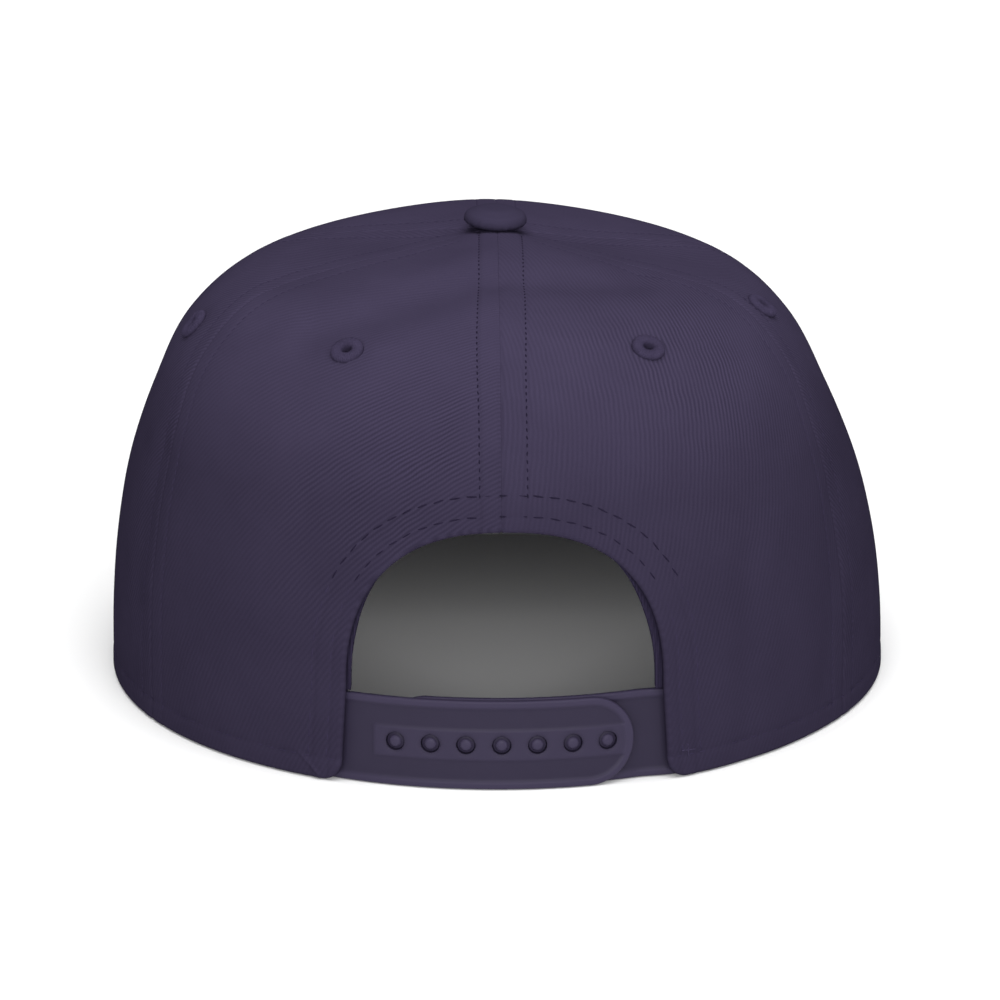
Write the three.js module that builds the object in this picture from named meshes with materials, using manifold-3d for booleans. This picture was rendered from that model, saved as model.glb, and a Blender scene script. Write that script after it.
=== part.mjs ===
// A snapback cap: six sewn panels with eyelets, a covered button, a stiff visor, a sweatband,
// a bound arch at the back and a two-part plastic snap strap across it.
// Millimetres, +Z up, the visor towards -Y and the strap towards +Y. Left is the wearer's left, +X.

import * as THREE from 'three';
import { mergeVertices } from 'three/addons/utils/BufferGeometryUtils.js';
import Module from 'manifold-3d';

const wasm = await Module();
wasm.setup();

// Driving dimensions of the crown
const halfWidth = 92;
const backReach = 96;
const frontReach = 95;
const crownHeight = 103;
const apexForward = 8;
const cloth = 1.8;

// Driving dimensions of the arch and its binding
const archHalfWidth = 35.05;
const archTop = 57.6;
const archSpring = 22;
const archFlare = 1.4;
const archOffset = -0.75;
const archPower = 2.4;
const bindingWidth = 7;
const bindingThickness = 1;
const bindingProud = 1.8;
const bindingSpare = 4;

// Driving dimensions of the visor
const visorLength = 70;
const visorHalfWidth = 90;
const visorThickness = 3.2;
const visorCamber = 6;
const visorHalfAngle = 60;
const visorTurn = 104;
const visorPower = 2.6;
const visorShoulder = 0.35;
const visorRear = 0.45;
const visorTipTaper = 6;
const visorTipWidth = 0.04;

// Driving dimensions of the sweatband
const sweatbandHeight = 32;
const sweatbandThickness = 1.2;
const sweatbandLift = 1.5;
const sweatbandShort = 2;

// Driving dimensions of the strap and its snaps
const strapHeight = 20.4;
const strapThickness = 1.6;
const strapTuck = 8;
const strapEndReach = 30.5;
const pegEndReach = 27.5;
const rimRidge = 2.1;
const fieldRecess = 0.4;
const bandRise = 0.25;
const snapCount = 7;
const snapPitch = 8.1;
const snapBand = 7.2;
const snapRadius = 2.1;
const pegRadius = 1.35;
const pegSink = 0.1;
const endFlat = 0.15;

// Driving dimensions of the button and the eyelets
const buttonRadius = 7.4;
const buttonHeight = 4.2;
const buttonEdge = 0.3;
const shankRadius = 1.5;
const eyeletRadius = 3.7;
const eyeletHole = 1.1;
const eyeletSleeve = 0.5;
const eyeletProud = 0.9;
const eyeletShoulder = 0.6;
const eyeletRounding = 0.09;

// Gaps between the pieces
const clearance = 0.3;
const seamGap = 0.3;

// Fineness of the facets
const panelColumns = 10;
const panelRows = 15;
const archSteps = 24;
const bindingColumns = 18;
const bindingRows = 6;
const visorRows = 5;
const sweatbandRows = 3;
const stripColumns = 22;
const snapBandColumns = 14;
const buttonSides = 24;
const buttonSteps = 6;
const ringQuarter = 3;
const eyeletSides = 14;
const ventSides = 12;
const holeSides = 12;
const pegSides = 10;

// Sections of the crown from the rim up to the button. Reaches are shares of the way out from
// the button to the rim, rises are shares of the crown's height, and square is how far the
// plan swells at its four shoulders.
const sectionColumns = [
  'backReach', 'backRise', 'sideReach', 'sideRise', 'frontReach', 'frontRise', 'square',
];
const sections = [
  [1.000, 0.000, 1.000, 0.000, 1.000, 0.000, 0.002],
  [0.998, 0.165, 0.995, 0.165, 0.990, 0.170, 0.006],
  [0.988, 0.330, 0.978, 0.330, 0.965, 0.345, 0.015],
  [0.958, 0.490, 0.943, 0.495, 0.925, 0.515, 0.022],
  [0.898, 0.640, 0.880, 0.655, 0.865, 0.680, 0.026],
  [0.790, 0.775, 0.798, 0.800, 0.765, 0.825, 0.024],
  [0.620, 0.885, 0.650, 0.908, 0.600, 0.930, 0.010],
  [0.420, 0.955, 0.432, 0.951, 0.400, 0.990, -0.006],
  [0.210, 0.990, 0.210, 0.976, 0.190, 1.014, 0.000],
  [0.000, 1.000, 0.000, 1.000, 0.000, 1.000, 0.000],
].map((row) => Object.fromEntries(row.map((value, k) => [sectionColumns[k], value])));

// Dents pressed into the crown. Angles are degrees round from the centre back, the wearer's left
// positive, rows run from 0 at the rim to 1 at the button, and depth is a share of the half width.
const dents = [
  { name: 'right side leans in', angle: -90, row: 0.48, spreadAngle: 45, spreadRow: 0.24, depth: 0.036 },
  { name: 'right shoulder', angle: -85, row: 0.58, spreadAngle: 25, spreadRow: 0.10, depth: 0.008 },
  { name: 'right of the top', angle: -115, row: 0.84, spreadAngle: 60, spreadRow: 0.14, depth: 0.030 },
  { name: 'left of the top', angle: 110, row: 0.86, spreadAngle: 45, spreadRow: 0.12, depth: 0.012 },
  { name: 'right of the rim', angle: -50, row: 0.03, spreadAngle: 22, spreadRow: 0.20, depth: 0.012 },
];

// Soft folds in the back of the crown, each a valley between two places. Spread and depth are
// shares of the half width.
const folds = [
  { name: 'over left eyelet', angle: 43, row: 0.655, toAngle: 8, toRow: 0.805, spread: 0.07, depth: 0.012 },
  { name: 'across the right', angle: -4, row: 0.815, toAngle: -55, toRow: 0.775, spread: 0.07, depth: 0.010 },
  { name: 'left shoulder', angle: 72, row: 0.700, toAngle: 40, toRow: 0.900, spread: 0.06, depth: 0.006 },
  { name: 'lower right', angle: -37, row: 0.040, toAngle: -38, toRow: 0.310, spread: 0.05, depth: 0.006 },
  { name: 'right edge', angle: -55, row: 0.080, toAngle: -60, toRow: 0.330, spread: 0.05, depth: 0.005 },
  { name: 'left edge', angle: 66, row: 0.180, toAngle: 64, toRow: 0.400, spread: 0.05, depth: 0.007 },
];
const seamRun = 1.7;

// Seams between the panels: degrees round from the centre back at the rim and near the button.
const seams = [
  { name: 'centre back', atRim: 0, atTop: 0 },
  { name: 'left back to side', atRim: 60, atTop: 71 },
  { name: 'left side to front', atRim: 120, atTop: 116 },
  { name: 'centre front', atRim: 180, atTop: 180 },
  { name: 'right side to front', atRim: 240, atTop: 244 },
  { name: 'right back to side', atRim: 300, atTop: 289 },
];

// Where the eyelets sit: degrees round from the centre back, and the row
const eyelets = {
  back_left: { angle: 32.5, row: 0.635 },
  back_right: { angle: -32, row: 0.640 },
  side_left: { angle: 79, row: 0.575 },
  side_right: { angle: -76.5, row: 0.635 },
  front_left: { angle: 148, row: 0.600 },
  front_right: { angle: -148, row: 0.600 },
};

// The rows between which a seam swings from its place at the rim to its place near the button
const seamBendFrom = 0.25;
const seamBendTo = 0.85;

// Colours, roughness and metalness of the finishes
const fabric = { color: 0x3c3650, roughness: 0.92, metalness: 0 };
const lining = { color: 0x2a2638, roughness: 0.95, metalness: 0 };
const plastic = { color: 0x3a344c, roughness: 0.45, metalness: 0 };

const { cos, sin, abs, sign, min, max, PI } = Math;
const radians = THREE.MathUtils.degToRad;

// The crown's surface

function alongSections(column, row) {
  const last = sections.length - 1;
  const place = min(max(row * last, 0), last - 1e-9);
  const index = Math.floor(place);
  const share = place - index;
  const value = (k) => {
    if (k < 0) return 2 * sections[0][column] - sections[-k][column];
    if (k > last) return 2 * sections[last][column] - sections[2 * last - k][column];
    return sections[k][column];
  };
  const [a, b, c, d] = [value(index - 1), value(index), value(index + 1), value(index + 2)];
  const curve = c - a + share * (2 * a - 5 * b + 4 * c - d + share * (3 * (b - c) + d - a));
  return b + 0.5 * share * curve;
}

function smoothCrown(angle, row) {
  const lengthways = cos(angle) ** 2;
  const crossways = sin(angle) ** 2;
  const end = cos(angle) > 0 ? 'back' : 'front';
  const reach = lengthways * alongSections(`${end}Reach`, row) + crossways * alongSections('sideReach', row);
  const rise = lengthways * alongSections(`${end}Rise`, row) + crossways * alongSections('sideRise', row);
  const swell = 1 + alongSections('square', row) * sin(2 * angle) ** 2;
  const rimY = (end === 'back' ? backReach : frontReach) * cos(angle) * swell;
  const rimLift = end === 'back' ? 0 : visorCamber * lengthways * (1 - rise);
  return new THREE.Vector3(
    halfWidth * sin(angle) * reach * swell,
    reach * rimY - (1 - reach) * apexForward,
    crownHeight * rise + rimLift,
  );
}

function dentDepth(angle, row) {
  let total = 0;
  for (const dent of dents) {
    const turn = THREE.MathUtils.euclideanModulo(angle - radians(dent.angle) + PI, 2 * PI) - PI;
    const sideways = turn / radians(dent.spreadAngle);
    const upwards = (row - dent.row) / dent.spreadRow;
    total += dent.depth * halfWidth * Math.exp(-(sideways ** 2) - upwards ** 2);
  }
  return total;
}

// How deep a fold is at a place, measured on the crown laid flat in half widths
function foldDepth(angle, row) {
  const flat = (turn, height) => {
    const wrapped = THREE.MathUtils.euclideanModulo(turn + PI, 2 * PI) - PI;
    return new THREE.Vector2(wrapped * alongSections('sideReach', height), height * seamRun);
  };
  let total = 0;
  for (const fold of folds) {
    const start = flat(radians(fold.angle), fold.row);
    const run = flat(radians(fold.toAngle), fold.toRow).sub(start);
    const offset = flat(angle, row).sub(start);
    const share = THREE.MathUtils.clamp(offset.dot(run) / run.lengthSq(), 0, 1);
    const distance = offset.sub(run.multiplyScalar(share)).length();
    total += fold.depth * halfWidth * Math.exp(-((distance / fold.spread) ** 2));
  }
  return total;
}

function crownNormal(angle, row) {
  const step = 1e-3;
  const safeRow = min(row, 1 - 2 * step);
  const round = smoothCrown(angle - step, safeRow).sub(smoothCrown(angle + step, safeRow));
  const up = smoothCrown(angle, safeRow + step).sub(smoothCrown(angle, max(safeRow - step, 0)));
  return round.cross(up).normalize();
}

// The wall is square to the outer face above this row, and below it the wall turns level with
// the ground at the rim
const levelRow = 0.02;

// A point in the crown's wall, depth millimetres in from its outer face
function wallPoint(angle, row, depth) {
  const inward = depth + dentDepth(angle, row) + foldDepth(angle, row);
  const normal = crownNormal(angle, row);
  normal.setZ(normal.z * min(row / levelRow, 1)).normalize();
  return smoothCrown(angle, row).addScaledVector(normal, -inward);
}

// The row at which a rising quantity of the section reaches a value
function rowWhere(quantity, value) {
  let low = 0;
  let high = 1;
  if (value <= quantity(low)) return low;
  for (let step = 0; step < 30; step += 1) {
    const middle = (low + high) / 2;
    if (quantity(middle) < value) low = middle;
    else high = middle;
  }
  return (low + high) / 2;
}

const rowAtHeight = (height) => rowWhere((row) => crownHeight * alongSections('backRise', row), height);
const rowAtRadius = (radius) => rowWhere((row) => -halfWidth * alongSections('sideReach', row), -radius);

function seamAngle(seam, row) {
  const bend = THREE.MathUtils.smoothstep(row, seamBendFrom, seamBendTo);
  return radians(seam.atRim + (seam.atTop - seam.atRim) * bend);
}

// Closed bodies

function closedBody(positions, triangles) {
  const geometry = new THREE.BufferGeometry();
  geometry.setAttribute('position', new THREE.Float32BufferAttribute(positions, 3));
  geometry.setIndex(triangles);
  return geometry;
}

// A wall between an outer and an inner grid of points, closed round its edge. Columns run the
// way that the angle grows, and rows run away from the rim.
function sheet(columns, rows, outerPoint, innerPoint) {
  const positions = [];
  const triangles = [];
  const across = rows + 1;
  const layer = (columns + 1) * across;
  for (const point of [outerPoint, innerPoint]) {
    for (let i = 0; i <= columns; i += 1) {
      for (let j = 0; j <= rows; j += 1) positions.push(...point(i / columns, j / rows).toArray());
    }
  }
  const quad = (a, b, c, d) => triangles.push(a, c, b, a, d, c);
  const at = (i, j) => i * across + j;
  for (let i = 0; i < columns; i += 1) {
    for (let j = 0; j < rows; j += 1) {
      quad(at(i, j), at(i + 1, j), at(i + 1, j + 1), at(i, j + 1));
      quad(layer + at(i, j), layer + at(i, j + 1), layer + at(i + 1, j + 1), layer + at(i + 1, j));
    }
  }
  for (let i = 0; i < columns; i += 1) {
    quad(at(i, 0), layer + at(i, 0), layer + at(i + 1, 0), at(i + 1, 0));
    quad(at(i, rows), at(i + 1, rows), layer + at(i + 1, rows), layer + at(i, rows));
  }
  for (let j = 0; j < rows; j += 1) {
    quad(at(0, j), at(0, j + 1), layer + at(0, j + 1), layer + at(0, j));
    quad(at(columns, j), layer + at(columns, j), layer + at(columns, j + 1), at(columns, j + 1));
  }
  return closedBody(positions, triangles);
}

function solidOf(geometry) {
  const bare = geometry.clone();
  bare.deleteAttribute('normal');
  bare.deleteAttribute('uv');
  const merged = mergeVertices(bare, 1e-4);
  const vertProperties = new Float32Array(merged.attributes.position.array);
  const triVerts = new Uint32Array(merged.index.array);
  return new wasm.Manifold(new wasm.Mesh({ numProp: 3, vertProperties, triVerts }));
}

function geometryOf(solid) {
  const mesh = solid.getMesh();
  const positions = [];
  for (let v = 0; v < mesh.numVert; v += 1) {
    for (let k = 0; k < 3; k += 1) positions.push(mesh.vertProperties[v * mesh.numProp + k]);
  }
  return closedBody(positions, Array.from(mesh.triVerts));
}

function piece(name, geometry, finish) {
  const mesh = new THREE.Mesh(geometry, new THREE.MeshStandardMaterial(finish));
  mesh.name = name;
  mesh.geometry.computeVertexNormals();
  return mesh;
}

// A frame standing on the crown, its Y axis along the outward normal
function seatOnCrown(angle, row) {
  const normal = crownNormal(angle, row);
  return {
    position: wallPoint(angle, row, 0),
    quaternion: new THREE.Quaternion().setFromUnitVectors(new THREE.Vector3(0, 1, 0), normal),
  };
}

function pinThrough(seat, radius, length, sides) {
  const pin = new THREE.CylinderGeometry(radius, radius, length, sides);
  pin.applyQuaternion(seat.quaternion);
  pin.translate(...seat.position.toArray());
  return solidOf(pin);
}

// The arch over the strap, as an outline in the XZ plane, grown outwards by a margin
function archPrism(margin, foot) {
  const halfChord = archHalfWidth + margin;
  const outline = new THREE.Shape();
  outline.moveTo(halfChord + archFlare, foot);
  for (let k = 0; k <= archSteps; k += 1) {
    const turn = (PI * k) / archSteps;
    const x = halfChord * sign(cos(turn)) * abs(cos(turn)) ** (2 / archPower);
    const z = archSpring + (archTop + margin - archSpring) * sin(turn) ** (2 / archPower);
    outline.lineTo(x, z);
  }
  outline.lineTo(-halfChord - archFlare, foot);
  const prism = new THREE.ExtrudeGeometry(outline, { depth: backReach, bevelEnabled: false });
  prism.rotateX(PI / 2);
  prism.translate(archOffset, 1.5 * backReach, 0);
  return solidOf(prism);
}

// The panels and their eyelets

const buttonHoleRow = rowAtRadius(shankRadius + 2 * clearance);

function seamEdge(seam, row, side) {
  const across = wallPoint(seamAngle(seam, row), row, 0);
  const radius = Math.hypot(across.x, across.y + apexForward);
  return seamAngle(seam, row) + (side * seamGap) / 2 / radius;
}

function panelSolid(from, to) {
  const turn = to.atRim < from.atRim ? 2 * PI : 0;
  const point = (depth) => (u, v) => {
    const row = v * buttonHoleRow;
    const start = seamEdge(from, row, 1);
    const end = seamEdge(to, row, -1) + turn;
    return wallPoint(start + (end - start) * u, row, depth);
  };
  return solidOf(sheet(panelColumns, panelRows, point(0), point(cloth)));
}

function eyeletGeometry() {
  const sleeve = eyeletHole + eyeletSleeve;
  const shoulder = clearance + eyeletShoulder * eyeletProud;
  const profile = [
    [eyeletHole, -cloth],
    [sleeve, -cloth],
    [sleeve, clearance],
    [eyeletRadius, clearance],
    [eyeletRadius - eyeletRounding, shoulder],
    [(eyeletRadius + eyeletHole) / 2, clearance + eyeletProud],
    [eyeletHole, shoulder],
    [eyeletHole, -cloth],
  ];
  return new THREE.LatheGeometry(profile.map(([r, y]) => new THREE.Vector2(r, y)), eyeletSides);
}

const archCut = archPrism(0, -visorCamber);
const cap = new THREE.Group();

const panelPlan = [
  { name: 'back_left', from: seams[0], to: seams[1] },
  { name: 'side_left', from: seams[1], to: seams[2] },
  { name: 'front_left', from: seams[2], to: seams[3] },
  { name: 'front_right', from: seams[3], to: seams[4] },
  { name: 'side_right', from: seams[4], to: seams[5] },
  { name: 'back_right', from: seams[5], to: seams[0] },
];

for (const { name, from, to } of panelPlan) {
  const { angle, row } = eyelets[name];
  const seat = seatOnCrown(radians(angle), row);
  const vent = pinThrough(seat, eyeletHole + eyeletSleeve + clearance, 4 * cloth, ventSides);
  let solid = panelSolid(from, to).subtract(vent);
  if (name.startsWith('back')) solid = solid.subtract(archCut);
  cap.add(piece(`panel_${name}`, geometryOf(solid), fabric));
  const eyelet = piece(`eyelet_${name}`, eyeletGeometry(), fabric);
  eyelet.position.copy(seat.position);
  eyelet.quaternion.copy(seat.quaternion);
  cap.add(eyelet);
}

// The covered button, seated on the slope round the meeting of the panels

function buttonGeometry() {
  const profile = [[0, -2 * cloth], [shankRadius, -2 * cloth], [shankRadius, 0], [buttonRadius, 0]];
  for (let k = 0; k < buttonSteps; k += 1) {
    const turn = (PI / 2) * (k / buttonSteps);
    profile.push([buttonRadius * cos(turn), buttonHeight * (buttonEdge + (1 - buttonEdge) * sin(turn))]);
  }
  profile.push([0, buttonHeight]);
  return new THREE.LatheGeometry(profile.map(([r, y]) => new THREE.Vector2(r, y)), buttonSides);
}

function crownRing(radius) {
  const turns = Array.from({ length: 4 * ringQuarter }, (_, k) => ((PI / 2) * k) / ringQuarter);
  return turns.map((turn) => wallPoint(turn, rowAtRadius(radius), 0));
}

const ring = crownRing(buttonRadius);
const lengthways = ring[0].clone().sub(ring[2 * ringQuarter]);
const crossways = ring[ringQuarter].clone().sub(ring[3 * ringQuarter]);
const seatNormal = crossways.cross(lengthways).normalize();
const apex = new THREE.Vector3(0, -apexForward, crownHeight);
const seats = [...ring, ...crownRing(buttonRadius / 2)];
const seatRise = max(...seats.map((point) => point.sub(apex).dot(seatNormal)), 0);
const button = piece('button', buttonGeometry(), fabric);
button.position.copy(apex).addScaledVector(seatNormal, seatRise + clearance);
button.quaternion.setFromUnitVectors(new THREE.Vector3(0, 1, 0), seatNormal);
cap.add(button);

// The visor, a bowed board against the front of the rim. Its outer edge swings from the tip of the
// visor ahead of its shoulders to a rounded rear behind them.
function visorPlan(u, v) {
  const angle = PI - radians(visorHalfAngle) * u;
  const edge = wallPoint(angle, 0, -clearance);
  const turn = radians(visorTurn) * u;
  const shoulderY = -visorShoulder * (frontReach + visorLength);
  const ahead = frontReach + visorLength + shoulderY;
  const behind = visorRear * (frontReach + shoulderY);
  const run = cos(turn) > 0 ? ahead : behind;
  const outerX = visorHalfWidth * sign(u) * abs(sin(turn)) ** (2 / visorPower);
  const outerY = shoulderY - run * sign(cos(turn)) * abs(cos(turn)) ** (2 / visorPower);
  const taper = max((1 - abs(u) ** visorTipTaper) ** 0.5, visorTipWidth);
  return [edge.x + (outerX - edge.x) * v * taper, edge.y + (outerY - edge.y) * v * taper];
}

function visorPoint(lift) {
  return (u, v) => {
    const [x, y] = visorPlan(1 - 2 * u, v);
    return new THREE.Vector3(x, y, visorCamber * (1 - (x / halfWidth) ** 2) + lift);
  };
}

const visor = sheet(2 * panelColumns, visorRows, visorPoint(0), visorPoint(visorThickness));
cap.add(piece('visor', visor, fabric));

// Bands that follow the inside of the wall. A band runs between two arc lengths along the rim
// from the centre back, the left positive, and between two heights that may change along it.

function wallBand({ from, to, low, high, outer, inner, columns, rows = 1 }) {
  const point = (depth) => (u, v) => {
    const along = from + (to - from) * u;
    const height = low(along) + (high(along) - low(along)) * v;
    return wallPoint(along / halfWidth, rowAtHeight(height), depth(along));
  };
  return solidOf(sheet(columns, rows, point(outer), point(inner)));
}

const always = (value) => () => value;

// The sweatband, from one strap end round the front to the other

const strapEnd = archHalfWidth + archFlare + strapTuck;
const firstDepth = cloth + clearance;

function sweatbandGeometry() {
  const start = (strapEnd + sweatbandShort) / halfWidth;
  const lowRow = rowAtHeight(sweatbandLift);
  const highRow = rowAtHeight(sweatbandLift + sweatbandHeight);
  const point = (depth) => (u, v) => (
    wallPoint(start + (2 * PI - 2 * start) * u, lowRow + (highRow - lowRow) * v, depth)
  );
  return sheet(5 * panelColumns, sweatbandRows, point(firstDepth), point(firstDepth + sweatbandThickness));
}

cap.add(piece('sweatband', sweatbandGeometry(), lining));

// The binding inside the edge of the arch, its feet on the strap

const bindingReach = archHalfWidth + archFlare + bindingWidth + bindingSpare;
const bindingFoot = strapHeight + clearance;
const bindingStrip = wallBand({
  from: -bindingReach,
  to: bindingReach,
  low: always(bindingFoot),
  high: always(archTop + bindingWidth + bindingSpare),
  outer: always(firstDepth),
  inner: always(firstDepth + bindingThickness),
  columns: bindingColumns,
  rows: bindingRows,
});
const bindingOutside = archPrism(bindingWidth, 0);
const bindingInside = archPrism(-bindingProud, -1);
const bindingSolid = bindingStrip.intersect(bindingOutside).subtract(bindingInside);
cap.add(piece('arch_binding', geometryOf(bindingSolid), lining));

// The strap. Both halves end in a half circle, and heights are measured from the rim. Side is
// the end that is round: 1 on the left, -1 on the right.

function roundEnd(end, inset, side) {
  const middle = strapHeight / 2;
  const radius = middle - inset;
  const centre = end - side * middle;
  const bulge = (along) => {
    const past = max((along - centre) * side, 0);
    return Math.sqrt(max(radius ** 2 - past ** 2, (endFlat * radius) ** 2));
  };
  return { low: (along) => middle - bulge(along), high: (along) => middle + bulge(along) };
}

const snapPlaces = [];
for (let k = 0; k < snapCount; k += 1) snapPlaces.push((k - (snapCount - 1) / 2) * snapPitch);

function snapPin(along, radius, outer, inner, sides) {
  const row = rowAtHeight(strapHeight / 2);
  const seat = seatOnCrown(along / halfWidth, row);
  seat.position.copy(wallPoint(along / halfWidth, row, (outer + inner) / 2));
  return pinThrough(seat, radius, inner - outer, sides);
}

// One half of the strap: a flat strip with a raised rim round a recessed field, which runs out past
// the sewn end
const fieldPast = 1;

function strapStrip({ from, to, end, side, face }) {
  const strip = wallBand({
    ...roundEnd(end, 0, side),
    from,
    to,
    columns: stripColumns,
    outer: face,
    inner: (along) => face(along) + strapThickness,
  });
  const field = wallBand({
    ...roundEnd(end, rimRidge, side),
    from: from + (side < 0 ? rimRidge : -fieldPast),
    to: to + (side < 0 ? fieldPast : -rimRidge),
    columns: stripColumns,
    outer: (along) => face(along) - strapThickness,
    inner: (along) => face(along) + fieldRecess,
  });
  return strip.subtract(field);
}

// The outer half, pierced for the snaps along a raised band
function strapOuterSolid() {
  const strip = strapStrip({
    from: -strapEndReach,
    to: strapEnd,
    end: -strapEndReach,
    side: -1,
    face: always(firstDepth),
  });
  const bandEnd = snapPlaces[snapCount - 1] + snapBand / 2 + snapRadius / 2;
  const band = wallBand({
    from: -bandEnd,
    to: bandEnd,
    columns: snapBandColumns,
    low: always((strapHeight - snapBand) / 2),
    high: always((strapHeight + snapBand) / 2),
    outer: always(firstDepth + fieldRecess - bandRise),
    inner: always(firstDepth + strapThickness / 2),
  });
  let solid = strip.add(band);
  for (const along of snapPlaces) {
    const deep = firstDepth + 2 * strapThickness;
    solid = solid.subtract(snapPin(along, snapRadius, firstDepth - strapThickness, deep, holeSides));
  }
  return solid;
}

// The inner half, lapped behind the outer one and joggled out to the wall at its sewn end
function strapInnerSolid() {
  const behind = firstDepth + strapThickness + clearance;
  const joggle = (along) => {
    const share = THREE.MathUtils.smoothstep(-along, strapEndReach + 1, strapEnd - 2);
    return behind + (firstDepth - behind) * share;
  };
  let solid = strapStrip({
    from: -strapEnd,
    to: pegEndReach,
    end: pegEndReach,
    side: 1,
    face: joggle,
  });
  const pegRoot = behind + strapThickness / 2 + fieldRecess;
  for (const along of snapPlaces) {
    solid = solid.add(snapPin(along, pegRadius, firstDepth + pegSink, pegRoot, pegSides));
  }
  return solid;
}

cap.add(piece('strap_outer', geometryOf(strapOuterSolid()), plastic));
cap.add(piece('strap_inner', geometryOf(strapInnerSolid()), plastic));

// The origin is under the middle of the whole cap
const extent = new THREE.Box3().setFromObject(cap);
const middle = extent.getCenter(new THREE.Vector3());
cap.position.set(-middle.x, -middle.y, -extent.min.z);

export default cap;
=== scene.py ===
"""A snapback cap seen from behind: twill panels, sewn seams, eyelets, a covered button, a stiff visor
and a moulded snap strap. Sizes in the tables are millimetres in the crown's own axes, whose centre is
on the floor under the middle of the head, and pieces are made in metres in the frame's axes."""

import math

import bpy
import numpy as np
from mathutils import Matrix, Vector


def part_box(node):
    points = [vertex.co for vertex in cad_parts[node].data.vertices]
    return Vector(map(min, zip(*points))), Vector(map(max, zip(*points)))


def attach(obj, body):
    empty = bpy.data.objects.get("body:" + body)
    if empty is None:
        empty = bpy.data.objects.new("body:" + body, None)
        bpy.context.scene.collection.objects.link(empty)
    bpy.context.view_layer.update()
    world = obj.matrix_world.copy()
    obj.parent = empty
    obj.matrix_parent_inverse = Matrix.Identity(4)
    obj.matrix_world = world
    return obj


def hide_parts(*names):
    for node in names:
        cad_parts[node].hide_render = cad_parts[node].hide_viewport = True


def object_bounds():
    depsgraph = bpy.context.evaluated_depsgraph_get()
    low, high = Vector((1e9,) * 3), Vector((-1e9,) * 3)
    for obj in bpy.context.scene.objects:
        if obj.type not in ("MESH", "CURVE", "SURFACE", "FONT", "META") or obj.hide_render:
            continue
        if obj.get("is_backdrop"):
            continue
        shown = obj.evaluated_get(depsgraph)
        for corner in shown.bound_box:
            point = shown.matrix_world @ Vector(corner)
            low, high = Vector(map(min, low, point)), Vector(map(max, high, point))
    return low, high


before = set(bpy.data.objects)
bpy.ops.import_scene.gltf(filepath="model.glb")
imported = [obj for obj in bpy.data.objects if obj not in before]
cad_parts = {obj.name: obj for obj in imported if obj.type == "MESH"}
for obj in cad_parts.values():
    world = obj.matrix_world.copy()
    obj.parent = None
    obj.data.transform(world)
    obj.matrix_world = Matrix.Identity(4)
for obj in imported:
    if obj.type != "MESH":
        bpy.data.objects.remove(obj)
cad_low, cad_high = (list(corner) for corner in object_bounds())

# Sizes shared with the frame

HALF_WIDTH = 92.0
BACK_REACH = 96.0
FRONT_REACH = 95.0
CROWN_HEIGHT = 103.0
APEX_FORWARD = 8.0
CLOTH = 1.8
ARCH_HALF_WIDTH = 35.05
ARCH_TOP = 57.6
ARCH_SPRING = 22.0
ARCH_FLARE = 1.4
ARCH_OFFSET = -0.75
ARCH_POWER = 2.4
BINDING_WIDTH = 7.0
BINDING_THICKNESS = 1.0
BINDING_PROUD = 1.8
VISOR_LENGTH = 70.0
VISOR_HALF_WIDTH = 90.0
VISOR_THICKNESS = 3.2
VISOR_CAMBER = 6.0
VISOR_HALF_ANGLE = math.radians(60)
VISOR_TURN = math.radians(104)
VISOR_POWER = 2.6
VISOR_SHOULDER = 0.35
VISOR_REAR = 0.45
VISOR_TIP_TAPER = 6
VISOR_TIP_WIDTH = 0.04
SWEATBAND_HEIGHT = 32.0
SWEATBAND_THICKNESS = 1.2
SWEATBAND_LIFT = 1.5
SWEATBAND_SHORT = 2.0
STRAP_HEIGHT = 20.4
STRAP_THICKNESS = 1.6
STRAP_TUCK = 8.0
STRAP_END_REACH = 30.5
PEG_END_REACH = 27.5
RIM_RIDGE = 2.1
FIELD_RECESS = 0.4
BAND_RISE = 0.25
SNAP_COUNT = 7
SNAP_PITCH = 8.1
SNAP_BAND = 7.2
SNAP_RADIUS = 2.1
BUTTON_RADIUS = 7.4
BUTTON_HEIGHT = 4.2
SHANK_RADIUS = 1.5
EYELET_HOLE = 1.1
EYELET_SLEEVE = 0.5
CLEARANCE = 0.3
SEAM_GAP = 0.3
LEVEL_ROW = 0.02
SEAM_RUN = 1.7

COLUMNS = ("back_reach", "back_rise", "side_reach", "side_rise", "front_reach", "front_rise", "square")
SECTIONS = np.array([
    (1.000, 0.000, 1.000, 0.000, 1.000, 0.000, 0.002),
    (0.998, 0.165, 0.995, 0.165, 0.990, 0.170, 0.006),
    (0.988, 0.330, 0.978, 0.330, 0.965, 0.345, 0.015),
    (0.958, 0.490, 0.943, 0.495, 0.925, 0.515, 0.022),
    (0.898, 0.640, 0.880, 0.655, 0.865, 0.680, 0.026),
    (0.790, 0.775, 0.798, 0.800, 0.765, 0.825, 0.024),
    (0.620, 0.885, 0.650, 0.908, 0.600, 0.930, 0.010),
    (0.420, 0.955, 0.432, 0.951, 0.400, 0.990, -0.006),
    (0.210, 0.990, 0.210, 0.976, 0.190, 1.014, 0.000),
    (0.000, 1.000, 0.000, 1.000, 0.000, 1.000, 0.000),
])

# angle, row, spread of each, depth as a share of the half width
DENTS = (
    (-90, 0.48, 45, 0.24, 0.036),
    (-85, 0.58, 25, 0.10, 0.008),
    (-115, 0.84, 60, 0.14, 0.030),
    (110, 0.86, 45, 0.12, 0.012),
    (-50, 0.03, 22, 0.20, 0.012),
)

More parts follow.
